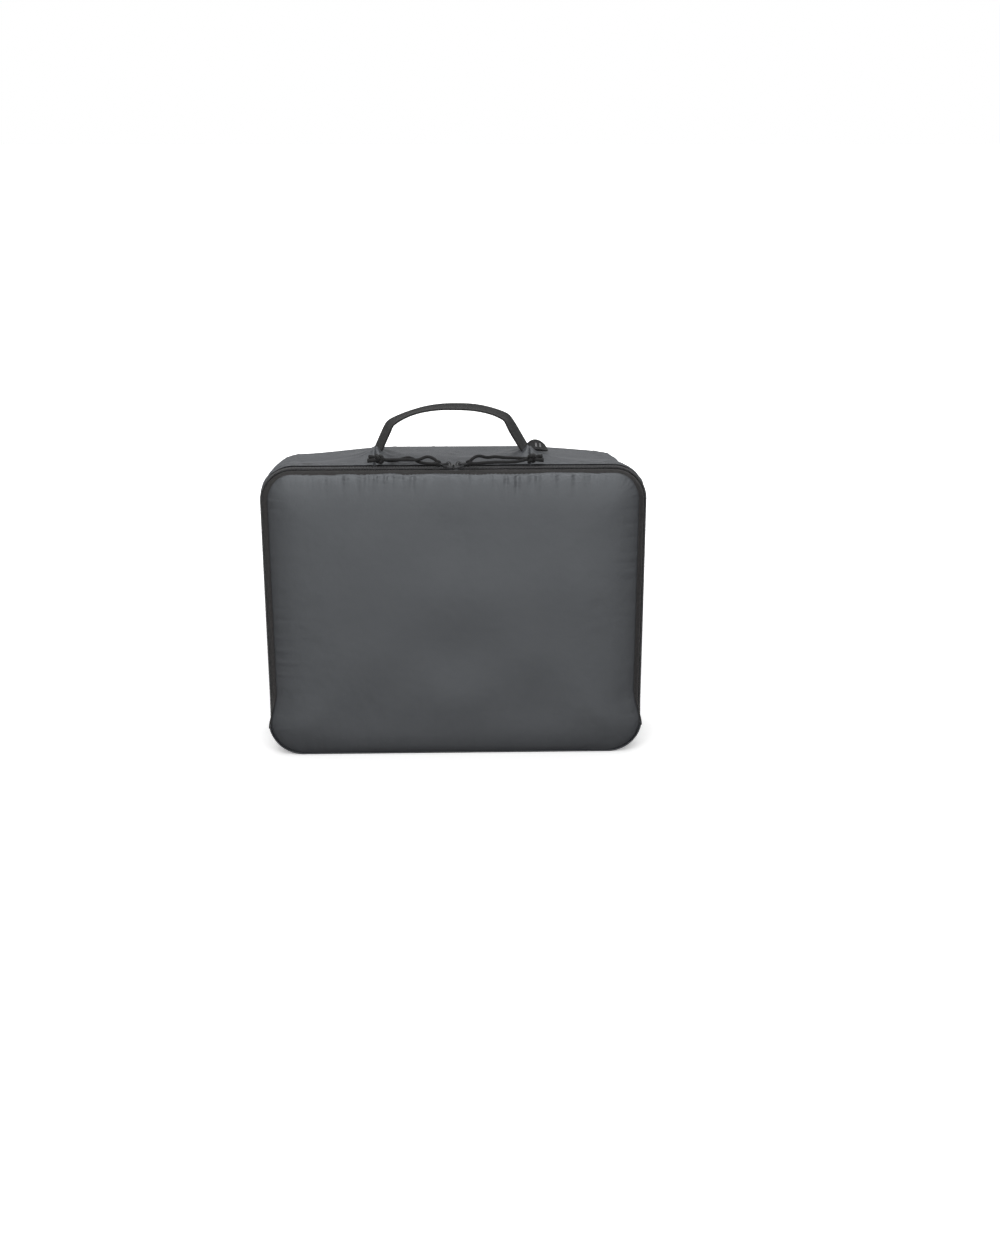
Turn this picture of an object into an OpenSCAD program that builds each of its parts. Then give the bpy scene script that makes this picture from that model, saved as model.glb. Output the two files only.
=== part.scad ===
// Soft packing cube for clothes: a fabric box whose front panel unzips on three sides and folds
// down at its foot. Millimetres, +Z up, front towards -Y, origin under the middle of the base.

/* [Bag] */
// Width of the bag
bag_w = 350; // [300:5:400]
// Height of the bag without its handle
bag_h = 275; // [240:5:320]
// Depth of the bag with its bulging front panel
bag_d = 96; // [90:2:130]
// Radius of the two top corners
top_corner_r = 32; // [30:1:50]
// Radius of the two bottom corners
bottom_corner_r = 26; // [18:1:26]
// Thickness of the fabric walls
wall_t = 1; // [0.8:0.1:1.4]
// Height of the strip of front panel below the ends of the zip
foot_h = 28; // [27:1:34]
// How far the front panel bulges out of its rim
crown = 7; // [4:1:9]

/* [Zip] */
// Width of the body-side zip tape
body_tape_w = 11.8; // [10:0.2:14]
// Thickness of the zip tape
tape_t = 0.8; // [0.6:0.1:1]
// Width of one coil of the zip
coil_w = 2.6; // [2.4:0.1:2.8]
// Height of one coil of the zip
coil_t = 2.4; // [2.2:0.1:2.6]
// Gap between the two coils
coil_gap = 1.2; // [1.1:0.1:1.4]
// Length of a slider
slider_l = 9.6; // [9:0.2:10]
// Wire thickness of a pull tab
wire_d = 1.1; // [1:0.1:1.2]
// Length of a pull tab from its pivot to its end bar
tab_l = 9; // [8:0.5:10]

/* [Handle] */
// Width of the webbing
webbing_w = 20; // [16:1:24]
// Thickness of the webbing
webbing_t = 1.8; // [1.4:0.1:2.2]
// Distance between the two handle seams
handle_span = 140; // [120:2:150]
// Height of the handle above the bag
handle_rise = 45.2; // [42:0.2:60]

/* [Cord] */
// Diameter of the puller cord
cord_d = 2.4; // [2:0.1:2.4]

/* [Hidden] */
$fn = 96;

half_w = bag_w / 2;
back_y = bag_d / 2;
// Front face of the fabric rim; the panel bulges from here to the front of the bag.
rim_y = -back_y + crown;
// Middle of the zip chain and the ends of the tapes beside it
rim_to_zip = 8;
zip_y = rim_y + rim_to_zip;
body_coil_y = zip_y + coil_gap / 2;
body_tape_y = body_coil_y + coil_w;
gusset_y = body_tape_y + body_tape_w;
lid_coil_y = zip_y - coil_gap / 2 - coil_w;
// Depth of the coils' middle and of the front rim below the outside of the gusset
coil_drop = 2.6;
rim_drop = 8;
fold_gap = 0.3;
binding_t = 1.2;
binding_w = 3;
seam_allowance = 8;
seam_gap = 0.4;

rim_half_w = half_w - rim_drop;
rim_top = bag_h - rim_drop;
rim_corner_r = top_corner_r - rim_drop;
rim_foot_r = 3;
lid_bottom = foot_h + fold_gap;

// Middle of the handle, which is sewn on a little left of the bag's middle
handle_x = -0.8;
handle_y = 5;
// How far each leg leans in, where it meets the arch, and where it starts to swing
leg_lean = 16;
leg_top = 30;
leg_split = 20;
arch_rise = handle_rise - webbing_t / 2 - leg_top;
kink_x = handle_span / 2 - leg_lean;
arch_r = (kink_x * kink_x + arch_rise * arch_rise) / (2 * arch_rise);
arch_z = bag_h + handle_rise - webbing_t / 2 - arch_r;

slider_x = 5.4;
plate_t = 1.2;
plate_gap = 0.4;
plate_wide = 4.4;
plate_narrow = 3.5;
post_w = 0.6;
chain_z = bag_h - coil_drop;
plate_z = coil_t / 2 + plate_gap;
plate_top = chain_z + plate_z + plate_t;
pivot_x = slider_x - 1;
pivot_clearance = 0.35;
pivot_z = plate_top + pivot_clearance + wire_d / 2;
tab_w = 3.5;
bridge_w = 1.8;

knot_d = 8;
knot_l = 10;
knot_z = bag_h + knot_d / 2 + 0.4;
tail_l = 6;

// Middles of the two strands of each puller cord, from the pull tab's end bar to the knot.
// X is the distance out from the middle of the bag, and Z the height above its top.
left_route_a = [[15, -33, 3.5], [17, -32.5, 5.2], [20, -31.5, 6.6], [23, -30.5, 6.9], [26, -30, 6.2],
    [29, -30, 4.8], [32.5, -30, 4], [36, -29.8, 4], [40, -29.4, 4], [44, -29, 4], [48, -28.7, 4],
    [52, -28.5, 4], [56, -28.3, 4], [59.5, -28.2, 4], [63, -28.2, 4]];
left_route_b = [[15, -35, 2], [18, -35, 1.5], [21, -34.5, 1.5], [24, -33.5, 1.5], [27, -31.5, 1.5],
    [30, -28.5, 1.5], [33, -25, 2.2], [36.5, -22.8, 3.6], [40, -21.8, 4.4], [44, -21.5, 3.8],
    [48, -21.8, 2.6], [52, -22.5, 1.8], [56, -23.5, 1.8], [59.5, -24.5, 2.6], [63, -25.8, 3.6]];
right_route_a = [[15, -33, 3.5], [17, -32.5, 5.3], [20, -31.3, 6.9], [23.5, -30, 7.2], [27, -28.5, 6.2],
    [30, -26.5, 5.2], [33.5, -24.5, 5], [37, -23, 5], [41, -22.5, 4.6], [45, -22.5, 4.2], [49, -22.8, 4],
    [53, -23.4, 4], [57, -24.2, 4], [62, -25.5, 4], [67, -26.8, 4]];
right_route_b = [[15, -35, 2], [18, -35, 1.5], [21, -34.5, 1.5], [25, -33, 1.5], [29, -31.5, 1.5],
    [33, -30.5, 1.5], [37, -30, 1.5], [41, -29.7, 1.5], [45, -29.5, 1.5], [49, -29.4, 1.5],
    [53, -29.4, 1.6], [57, -29.4, 2], [60.5, -29.4, 2.6], [64, -29.3, 3.4], [67, -29.2, 4]];

// ---- Shared shapes ----

// Front view of the bag, drawn in by a given distance
module bag_outline(inset) {
    top_r = top_corner_r - inset;
    bottom_r = bottom_corner_r - inset;
    for (side = [-1, 1]) {
        translate([side * (half_w - top_corner_r), bag_h - top_corner_r]) circle(top_r);
        translate([side * (half_w - bottom_corner_r), bottom_corner_r]) circle(bottom_r);
    }
    side_x = half_w - inset;
    translate([-side_x, bottom_corner_r]) square([2 * side_x, bag_h - top_corner_r - bottom_corner_r]);
    top_x = half_w - top_corner_r;
    translate([-top_x, bag_h / 2]) square([2 * top_x, bag_h / 2 - inset]);
    bottom_x = half_w - bottom_corner_r;
    translate([-bottom_x, inset]) square([2 * bottom_x, bag_h / 2]);
}

// Extrudes a front view between two depths.
module between(front, back) {
    translate([0, back, 0]) rotate([90, 0, 0]) linear_extrude(back - front) children();
}

// Wall of the bag: the outline's edge, a given distance in and a given thickness
module wall_ring(inset, thickness) {
    difference() {
        bag_outline(inset);
        bag_outline(inset + thickness);
    }
}

// Carries a profile up one side of the bag, round both top corners and down the other side.
// The profile's X is measured outwards from the outside of the gusset, and its Y is depth.
module along_zip(start_z) {
    corner_x = half_w - top_corner_r;
    corner_z = bag_h - top_corner_r;
    translate([corner_x, 0, corner_z]) rotate([0, -90, 0]) linear_extrude(2 * corner_x)
        translate([top_corner_r, 0]) children();
    for (side = [0, 1]) mirror([side, 0, 0]) translate([corner_x, 0, 0]) {
        translate([0, 0, start_z]) linear_extrude(corner_z - start_z)
            translate([top_corner_r, 0]) children();
        translate([0, 0, corner_z]) rotate([-90, 0, 0]) rotate([0, 0, -90])
            rotate_extrude(angle = 90) translate([top_corner_r, 0]) children();
    }
}

// Puts a piece drawn on the right of the bag onto the wanted side.
module on_side(side) {
    if (side < 0) mirror([1, 0, 0]) children();
    else children();
}

function unit(v) = v / norm(v);

// Direction of a route at one of its points
function heading(route, i) =
    unit(route[min(i + 1, len(route) - 1)] - route[max(i - 1, 0)]);

// One ring of points round a route's point
function tube_ring(route, i, radius, sides) =
    let (
        ahead = heading(route, i),
        across = unit(cross([0, 0, 1], ahead)),
        up = cross(ahead, across)
    )
    [for (k = [0 : sides - 1])
        route[i] + [0, 0, bag_h] + radius * (across * cos(360 * k / sides) + up * sin(360 * k / sides))];

// Round cord swept along a route
module cord(route, diameter) {
    sides = 8;
    rings = len(route);
    points = [for (i = [0 : rings - 1]) each tube_ring(route, i, diameter / 2, sides)];
    walls = [for (i = [0 : rings - 2], k = [0 : sides - 1]) let (next = (k + 1) % sides)
        [i * sides + k, (i + 1) * sides + k, (i + 1) * sides + next, i * sides + next]];
    start_cap = [for (k = [0 : sides - 1]) k];
    end_cap = [for (k = [sides - 1 : -1 : 0]) (rings - 1) * sides + k];
    polyhedron(points, concat(walls, [start_cap, end_cap]), convexity = 4);
}

// ---- Bag ----

module back_panel() {
    color("#3c3d40") between(back_y - wall_t, back_y) bag_outline(0);
}

// Part of the gusset wall whose X lies between two values, above the bottom corners
module gusset_wall(x_from, x_to) {
    between(gusset_y, back_y - wall_t) intersection() {
        wall_ring(0, wall_t);
        translate([x_from, bottom_corner_r]) square([x_to - x_from, bag_h]);
    }
}

module top_gusset() {
    seam_x = handle_span / 2 - seam_gap / 2;
    color("#4b4c50") between(gusset_y, back_y - wall_t)
        translate([handle_x - seam_x, bag_h - wall_t]) square([2 * seam_x, wall_t]);
}

// Side gusset with the short tab of fabric that closes the corner below the zip
module side_gusset(side) {
    seam_x = handle_span / 2 + seam_gap / 2 + side * handle_x;
    on_side(side) {
        gusset_wall(seam_x, half_w);
        translate([half_w - wall_t, rim_y + wall_t, bottom_corner_r])
            cube([wall_t, gusset_y - rim_y - wall_t, foot_h - bottom_corner_r]);
    }
}

module left_gusset() {
    color("#444548") side_gusset(-1);
}

module right_gusset() {
    color("#444548") side_gusset(1);
}

module bottom_gusset() {
    color("#2f3032") between(rim_y + wall_t, back_y - wall_t) intersection() {
        wall_ring(0, wall_t);
        translate([-half_w, 0]) square([bag_w, bottom_corner_r]);
    }
}

module front_panel_foot() {
    color("#45464a") between(rim_y, rim_y + wall_t) intersection() {
        bag_outline(0);
        translate([-half_w, 0]) square([bag_w, foot_h]);
    }
}

module back_seam_binding() {
    color("#1c1c1e") between(back_y - wall_t - binding_w, back_y - wall_t) wall_ring(wall_t, binding_t);
}

module gusset_seam_binding() {
    color("#1c1c1e") along_zip(foot_h)
        translate([-wall_t - binding_t, gusset_y]) square([binding_t, binding_w]);
}

// Bound seam allowance that hangs inside, under one end of the handle
module cross_seam_binding(side) {
    width = 2 * binding_t;
    seam_x = handle_x + side * handle_span / 2;
    translate([seam_x - width / 2, gusset_y + binding_w + 1, bag_h - wall_t - seam_allowance])
        cube([width, back_y - gusset_y - wall_t - 2 * binding_w - 2, seam_allowance]);
}

module left_cross_seam_binding() {
    color("#1c1c1e") cross_seam_binding(-1);
}

module right_cross_seam_binding() {
    color("#1c1c1e") cross_seam_binding(1);
}

// ---- Zip ----

module coil_profile(y) {
    bevel = 0.5;
    half_t = coil_t / 2;
    translate([-coil_drop, y]) polygon([
        [-half_t, bevel], [-half_t, coil_w - bevel], [-half_t + bevel, coil_w], [half_t - bevel, coil_w],
        [half_t, coil_w - bevel], [half_t, bevel], [half_t - bevel, 0], [-half_t + bevel, 0]]);
}

module body_zip_tape() {
    low = -coil_drop + tape_t / 2;
    color("#262628") along_zip(foot_h)
        polygon([[0, gusset_y], [low, body_tape_y], [low - tape_t, body_tape_y], [-tape_t, gusset_y]]);
}

module body_zip_coil() {
    color("#1e1e20") along_zip(foot_h) coil_profile(body_coil_y);
}

// The lid's tape leaves the coil level, then turns down to the rim of the front panel.
module lid_zip_tape() {
    outer = -coil_drop + tape_t / 2;
    flat_w = 1.2;
    bend_y = lid_coil_y - flat_w;
    inner_shift = 0.4;
    color("#262628") along_zip(lid_bottom)
        polygon([[outer, lid_coil_y], [outer, bend_y], [-rim_drop, rim_y], [-rim_drop, rim_y + wall_t],
            [outer - tape_t, bend_y + inner_shift], [outer - tape_t, lid_coil_y]]);
}

module lid_zip_coil() {
    color("#1e1e20") along_zip(lid_bottom) coil_profile(lid_coil_y);
}

module lid_seam_binding() {
    color("#1c1c1e") along_zip(lid_bottom)
        translate([-rim_drop - binding_w, rim_y + wall_t]) square([binding_w, binding_t]);
}

// ---- Front panel ----

// Points of a quarter circle about a corner's centre
function corner_arc(x, z, radius, from, steps) =
    [for (i = [0 : steps]) [x + radius * cos(from + 90 * i / steps), z + radius * sin(from + 90 * i / steps)]];

rim_points = concat(
    corner_arc(rim_half_w - rim_corner_r, rim_top - rim_corner_r, rim_corner_r, 0, 12),
    corner_arc(-rim_half_w + rim_corner_r, rim_top - rim_corner_r, rim_corner_r, 90, 12),
    corner_arc(-rim_half_w + rim_foot_r, lid_bottom + rim_foot_r, rim_foot_r, 180, 3),
    corner_arc(rim_half_w - rim_foot_r, lid_bottom + rim_foot_r, rim_foot_r, 270, 3));

// How far each ring of the bulging panel is drawn in from the rim
shrinks = [1, 0.92, 0.8, 0.62, 0.4, 0.18];

// Share of the crown that a ring has; the innermost ring has all of it.
function bulge(shrink) = (1 - pow(shrink, 3)) / (1 - pow(shrinks[len(shrinks) - 1], 3));

// One ring of the bulging panel: the rim shrunk about the panel's middle and pushed forwards
function panel_ring(shrink, y_shift) =
    let (middle_z = (rim_top + lid_bottom) / 2)
    [for (p = rim_points) [p[0] * shrink, rim_y - crown * bulge(shrink) + y_shift,
        middle_z + (p[1] - middle_z) * shrink]];

module front_panel() {
    count = len(rim_points);
    rings = len(shrinks);
    points = concat(
        [for (s = shrinks) each panel_ring(s, 0)],
        [for (s = shrinks) each panel_ring(s, wall_t)]);
    inner = rings * count;
    outer_bands = [for (r = [0 : rings - 2], k = [0 : count - 1]) let (next = (k + 1) % count)
        each [[r * count + k, r * count + next, (r + 1) * count + next],
            [r * count + k, (r + 1) * count + next, (r + 1) * count + k]]];
    inner_bands = [for (f = outer_bands) [f[2] + inner, f[1] + inner, f[0] + inner]];
    edge = [for (k = [0 : count - 1]) let (next = (k + 1) % count)
        [k, k + inner, next + inner, next]];
    outer_cap = [for (k = [0 : count - 1]) (rings - 1) * count + k];
    inner_cap = [for (k = [count - 1 : -1 : 0]) (rings - 1) * count + k + inner];
    color("#515359") polyhedron(points, concat(outer_bands, inner_bands, edge, [outer_cap, inner_cap]),
        convexity = 4);
}

// ---- Handle and label ----

// Middle line of the webbing: a leaning leg, a shallow arch and the other leg
arch_half_angle = asin(kink_x / arch_r);
root_flare = 1;
root_depth = 3;
strap_line = concat(
    [[-handle_span / 2 - root_flare, bag_h - root_depth]],
    [for (i = [-8 : 8]) let (angle = arch_half_angle * i / 8)
        [arch_r * sin(angle), arch_z + arch_r * cos(angle)]],
    [[handle_span / 2 + root_flare, bag_h - root_depth]]);

// Point a given distance to the left of a line's point, looking along the line
function beside(line, i, distance) =
    let (ahead = heading(line, i))
    line[i] + distance * [-ahead[1], ahead[0]];

// Front view of the whole webbing strap
module strap_outline() {
    last = len(strap_line) - 1;
    polygon(concat(
        [for (i = [0 : last]) beside(strap_line, i, webbing_t / 2)],
        [for (i = [last : -1 : 0]) beside(strap_line, i, -webbing_t / 2)]));
}

// Stretch of the strap between two heights above the bag
module strap(low, high) {
    translate([handle_x, 0, 0]) between(handle_y - webbing_w / 2, handle_y + webbing_w / 2)
        intersection() {
            strap_outline();
            translate([-handle_span, bag_h + low]) square([2 * handle_span, high - low]);
        }
}

module left_handle_leg() {
    color("#222223") intersection() {
        strap(0, leg_split);
        translate([handle_x - bag_w, -bag_d, 0]) cube([bag_w, 2 * bag_d, 2 * bag_h]);
    }
}

module right_handle_leg() {
    color("#222223") intersection() {
        strap(0, leg_split);
        translate([handle_x, -bag_d, 0]) cube([bag_w, 2 * bag_d, 2 * bag_h]);
    }
}

module handle_grip() {
    color("#222223") strap(leg_split, handle_rise + webbing_t);
}

// Woven label folded over once, its two ends caught in the right handle seam
module label() {
    length = 21;
    width = 16;
    loop_d = 5;
    thickness = 0.6;
    back_shift = 3;
    foot_x = handle_x + handle_span / 2 + webbing_t;
    middle_y = handle_y + back_shift;
    color("#161618") between(middle_y - width / 2, middle_y + width / 2)
        translate([foot_x, bag_h + loop_d / 2]) difference() {
            union() {
                translate([length - loop_d / 2, 0]) circle(loop_d / 2);
                translate([0, -loop_d / 2]) square([length - loop_d / 2, loop_d]);
            }
            translate([length - loop_d / 2, 0]) circle(loop_d / 2 - thickness);
            translate([-1, thickness - loop_d / 2]) square([length + 1 - loop_d / 2, loop_d - 2 * thickness]);
        }
}

// ---- Sliders and pullers ----

// Top view of a slider's plate, wide at the mouth that faces the middle of the bag
module plate_outline() {
    polygon([[-slider_l / 2, -plate_wide], [-slider_l / 2, plate_wide], [0, plate_wide],
        [slider_l / 2, plate_narrow], [slider_l / 2, -plate_narrow], [0, -plate_wide]]);
}

// Two plates held apart by the post between the coils, open on the lid's side
module slider_body(side) {
    flange_t = 0.6;
    coil_clearance = 0.3;
    flange_y = coil_w + coil_gap / 2 + coil_clearance;
    post_l = 3;
    on_side(side) translate([slider_x, zip_y, chain_z]) {
        translate([0, 0, plate_z]) linear_extrude(plate_t) plate_outline();
        translate([0, 0, -plate_z - plate_t]) linear_extrude(plate_t) plate_outline();
        translate([-slider_l / 2, -post_w / 2, -plate_z]) cube([post_l, post_w, 2 * plate_z]);
        for (level = [plate_z - flange_t, -plate_z])
            translate([-slider_l / 2, flange_y, level])
                cube([slider_l / 2, plate_wide - flange_y, flange_t]);
    }
}

module slider_bridge(side) {
    length = 5.2;
    height = 3;
    slot_l = wire_d + 0.9;
    slot_h = wire_d + 0.7;
    on_side(side) translate([pivot_x, zip_y, plate_top]) difference() {
        translate([-length / 2, -bridge_w / 2, 0]) cube([length, bridge_w, height]);
        translate([-slot_l / 2, -bridge_w, -1]) cube([slot_l, 2 * bridge_w, slot_h + 1]);
    }
}

// Wire loop whose inner bar turns under the bridge
module pull_tab(side) {
    bar_l = tab_w + wire_d;
    side_d = wire_d - 0.1;
    on_side(side) translate([pivot_x, zip_y, pivot_z]) {
        for (x = [0, tab_l]) translate([x, bar_l / 2, 0]) rotate([90, 0, 0]) cylinder(h = bar_l, d = wire_d);
        for (y = [-tab_w / 2, tab_w / 2])
            translate([0, y, 0]) rotate([0, 90, 0]) cylinder(h = tab_l, d = side_d);
    }
}

// Overhand knot as a plain capsule
module knot(side, x, y) {
    straight = knot_l - knot_d;
    on_side(side) translate([x - straight / 2, y, knot_z]) {
        rotate([0, 90, 0]) cylinder(h = straight, d = knot_d);
        for (end = [0, straight]) translate([end, 0, 0]) sphere(d = knot_d);
    }
}

// Two short cut ends that leave the knot
module cord_tails(side, x, y) {
    spread = 2.6;
    on_side(side) for (shift = [-spread / 2, spread / 2])
        translate([x + knot_l / 2 - 1, y + shift, knot_z - 1]) rotate([0, 90, 0])
            cylinder(h = tail_l, d = cord_d);
}

left_knot_x = 66;
left_knot_y = -27;
right_knot_x = 70;
right_knot_y = -28;

module left_slider_body() {
    color("#6a6c70") slider_body(-1);
}

module right_slider_body() {
    color("#6a6c70") slider_body(1);
}

module left_slider_bridge() {
    color("#7a7c80") slider_bridge(-1);
}

module right_slider_bridge() {
    color("#7a7c80") slider_bridge(1);
}

module left_pull_tab() {
    color("#8a8c90") pull_tab(-1);
}

module right_pull_tab() {
    color("#8a8c90") pull_tab(1);
}

module left_cord_a() {
    color("#202022") on_side(-1) cord(left_route_a, cord_d);
}

module left_cord_b() {
    color("#202022") on_side(-1) cord(left_route_b, cord_d);
}

module right_cord_a() {
    color("#202022") on_side(1) cord(right_route_a, cord_d);
}

module right_cord_b() {
    color("#202022") on_side(1) cord(right_route_b, cord_d);
}

module left_knot() {
    color("#202022") knot(-1, left_knot_x, left_knot_y);
}

module right_knot() {
    color("#202022") knot(1, right_knot_x, right_knot_y);
}

module left_cord_tails() {
    color("#202022") cord_tails(-1, left_knot_x, left_knot_y);
}

module right_cord_tails() {
    color("#202022") cord_tails(1, right_knot_x, right_knot_y);
}

back_panel();
top_gusset();
left_gusset();
right_gusset();
bottom_gusset();
front_panel_foot();
body_zip_tape();
body_zip_coil();
back_seam_binding();
gusset_seam_binding();
left_cross_seam_binding();
right_cross_seam_binding();
label();
left_handle_leg();
right_handle_leg();
handle_grip();
front_panel();
lid_zip_tape();
lid_zip_coil();
lid_seam_binding();
left_slider_body();
left_slider_bridge();
left_pull_tab();
left_cord_a();
left_cord_b();
left_knot();
left_cord_tails();
right_slider_body();
right_slider_bridge();
right_pull_tab();
right_cord_a();
right_cord_b();
right_knot();
right_cord_tails();
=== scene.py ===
import math

import bmesh
import bpy
import numpy as np
from mathutils import Matrix, Vector


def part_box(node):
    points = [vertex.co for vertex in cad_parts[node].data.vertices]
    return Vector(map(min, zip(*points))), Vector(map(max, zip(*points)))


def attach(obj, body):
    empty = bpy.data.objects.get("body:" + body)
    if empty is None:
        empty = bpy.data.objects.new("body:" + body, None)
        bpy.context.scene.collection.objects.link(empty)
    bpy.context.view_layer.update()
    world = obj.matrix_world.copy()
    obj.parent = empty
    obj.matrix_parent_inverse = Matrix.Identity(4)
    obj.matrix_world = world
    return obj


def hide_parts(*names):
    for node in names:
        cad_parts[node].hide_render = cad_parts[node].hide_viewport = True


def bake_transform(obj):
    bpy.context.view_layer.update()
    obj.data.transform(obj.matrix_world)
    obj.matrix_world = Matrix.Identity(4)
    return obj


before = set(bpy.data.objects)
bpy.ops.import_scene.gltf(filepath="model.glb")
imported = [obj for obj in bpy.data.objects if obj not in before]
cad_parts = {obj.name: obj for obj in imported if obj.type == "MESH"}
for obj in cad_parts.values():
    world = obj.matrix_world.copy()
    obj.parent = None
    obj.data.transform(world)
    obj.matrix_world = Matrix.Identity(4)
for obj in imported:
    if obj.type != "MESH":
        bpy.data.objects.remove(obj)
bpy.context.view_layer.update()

# Shapes are worked out in millimetres and turned into metres when a mesh is made.
MM = 0.001


def node_box(node):
    """A CAD node's lowest and highest corner, in millimetres."""
    low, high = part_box(node)
    return np.array(low) / MM, np.array(high) / MM


def into_scene(name, data):
    """A new object that holds the data, put into the scene."""
    made = bpy.data.objects.new(name, data)
    bpy.context.scene.collection.objects.link(made)
    return made


# ---- Driving sizes, read from the frame ----

_, back_high = node_box("back_panel")
foot_low, foot_high = node_box("front_panel_foot")
lid_low, lid_high = node_box("front_panel")
HALF_W = back_high[0]
TOP = back_high[2]
BACK = back_high[1]
RIM_Y = foot_low[1]
FOLD_Z = foot_high[2]
RIM_X = lid_high[0]
RIM_TOP = lid_high[2]
FRONT = lid_low[1]
GUSSET_Y = node_box("top_gusset")[0][1]
body_coil_low, body_coil_high = node_box("body_zip_coil")
lid_coil_low, lid_coil_high = node_box("lid_zip_coil")
ZIP_Y = (body_coil_low[1] + lid_coil_high[1]) / 2
COIL_TOP = body_coil_high[2]
COIL_IN = TOP - COIL_TOP + 1.2
TOP_R = 32.0
BOTTOM_R = 32.0
RIM_R = TOP_R - (HALF_W - RIM_X)

grip_low, grip_high = node_box("handle_grip")
HANDLE_X = (grip_low[0] + grip_high[0]) / 2
HANDLE_Y = (grip_low[1] + grip_high[1]) / 2
STRAP_W = grip_high[1] - grip_low[1]
STRAP_T = 1.8
SEAM_HALF = 70.0


# ---- Camera ----

CAMERA_PLACE = (0.0064, -1.3484, 0.5582)
CAMERA_PITCH = math.radians(18.25)
CAMERA_YAW = math.radians(1.53)
FOCAL = 43.2

camera_data = bpy.data.cameras.new("camera")
camera_data.lens = FOCAL
camera_data.sensor_width = 36
camera_data.clip_start = 0.05
camera = into_scene("camera", camera_data)
camera.location = CAMERA_PLACE
camera.rotation_euler = (math.pi / 2 - CAMERA_PITCH, 0, -CAMERA_YAW)
bpy.context.scene.camera = camera


# ---- Mesh helpers ----

def add_object(name, vertices, faces, uvs=None, smooth=True):
    """A mesh object from points in millimetres; uvs hold one pair in millimetres per vertex."""
    mesh = bpy.data.meshes.new(name)
    mesh.from_pydata((np.asarray(vertices, float) * MM).tolist(), [], faces)
    mesh.validate()
    if uvs is not None:
        layer = mesh.uv_layers.new(name="cloth")
        corner_vertex = np.zeros(len(mesh.loops), int)
        mesh.loops.foreach_get("vertex_index", corner_vertex)
        layer.data.foreach_set("uv", np.asarray(uvs, float)[corner_vertex].ravel())
    mesh.polygons.foreach_set("use_smooth", [smooth] * len(mesh.polygons))
    return into_scene(name, mesh)


def grid_faces(rows, columns, wrap_rows=False, wrap_columns=False, flip=False):
    """Quads of a grid of points stored row by row."""
    faces = []
    for i in range(rows if wrap_rows else rows - 1):
        for j in range(columns if wrap_columns else columns - 1):
            a = i * columns + j
            b = i * columns + (j + 1) % columns
            c = (i + 1) % rows * columns + (j + 1) % columns
            d = (i + 1) % rows * columns + j
            faces.append((a, d, c, b) if flip else (a, b, c, d))
    return faces


def capped(faces, rows, count, flip=False):
    """Closes both ends of a swept section whose rings hold count points."""
    first = tuple(range(count))
    last = tuple(range((rows - 1) * count, rows * count))
    faces.append(first if flip else first[::-1])
    faces.append(last[::-1] if flip else last)
    return faces


def pairs(first, second, shape):
    """Two arrays spread over a shape and put together as pairs."""
    return np.stack([np.broadcast_to(first, shape), np.broadcast_to(second, shape)], axis=2)


def grid_uv(grid):
    """Lengths along a grid's rows and columns, as millimetres of cloth."""
    along = np.linalg.norm(np.diff(grid, axis=0), axis=2).mean(axis=1)
    across = np.linalg.norm(np.diff(grid, axis=1), axis=2).mean(axis=0)
    u = np.concatenate([[0], np.cumsum(along)])
    v = np.concatenate([[0], np.cumsum(across)])
    return np.stack(np.meshgrid(u, v, indexing="ij"), axis=2).reshape(-1, 2)


def apply_modifiers(piece):
    """Bakes a piece's modifiers into its mesh."""
    bpy.context.view_layer.update()
    graph = bpy.context.evaluated_depsgraph_get()
    baked = bpy.data.meshes.new_from_object(piece.evaluated_get(graph))
    piece.modifiers.clear()
    piece.data = baked


def thicken(piece, thickness):
    """Gives a sheet its thickness, away from its outer face."""
    solid = piece.modifiers.new("thickness", "SOLIDIFY")
    solid.thickness = thickness * MM
    solid.offset = -1
    solid.use_even_offset = False
    apply_modifiers(piece)


def cloth_grid(name, grid, thickness, flip=False):
    """A sheet of cloth from a grid of points."""
    rows, columns = grid.shape[:2]
    piece = add_object(name, grid.reshape(-1, 3), grid_faces(rows, columns, flip=flip), grid_uv(grid))
    thicken(piece, thickness)
    return piece


def finish_piece(piece, body, slot, material, *nodes):
    """Puts a piece on its body, with its material and the CAD nodes it stands for; the slot is not used."""
    piece.data.materials.clear()
    piece.data.materials.append(material)
    if body:
        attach(piece, body)
    if nodes:
        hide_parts(*nodes)
    return piece


# ---- Smooth random fields ----

def value_noise(points, scale, seed):
    """Smooth noise between -1 and 1 at 2-D or 3-D points, with features about scale wide."""
    points = np.asarray(points, float) / scale
    base = np.floor(points).astype(int)
    part = points - base
    part = part * part * (3 - 2 * part)
    total = np.zeros(len(points))
    dims = points.shape[1]
    for corner in range(2 ** dims):
        offset = np.array([(corner >> axis) & 1 for axis in range(dims)])
        cell = base + offset
        mixed = np.full(len(points), seed * 7919 + 12345, dtype=np.int64)
        for axis, prime in zip(range(dims), (73856093, 19349663, 83492791)):
            mixed = (mixed ^ (cell[:, axis] * prime)) & 0x7FFFFFFF
            mixed = (mixed * 1103515245 + 12345) & 0x7FFFFFFF
        value = (mixed >> 8) % 65536 / 32768 - 1
        weight = np.prod(np.where(offset, part, 1 - part), axis=1)
        total += value * weight
    return total


def cloth_noise(first, second, scale, seed):
    """Smooth noise over two coordinates held as grids of the same shape."""
    return value_noise(np.stack([first.ravel(), second.ravel()], axis=1), scale, seed).reshape(first.shape)


def ease(value, low, high):
    """0 below low, 1 above high, smooth between."""
    t = np.clip((np.asarray(value, float) - low) / (high - low), 0, 1)
    return t * t * (3 - 2 * t)


# ---- Lines and outlines ----

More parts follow.
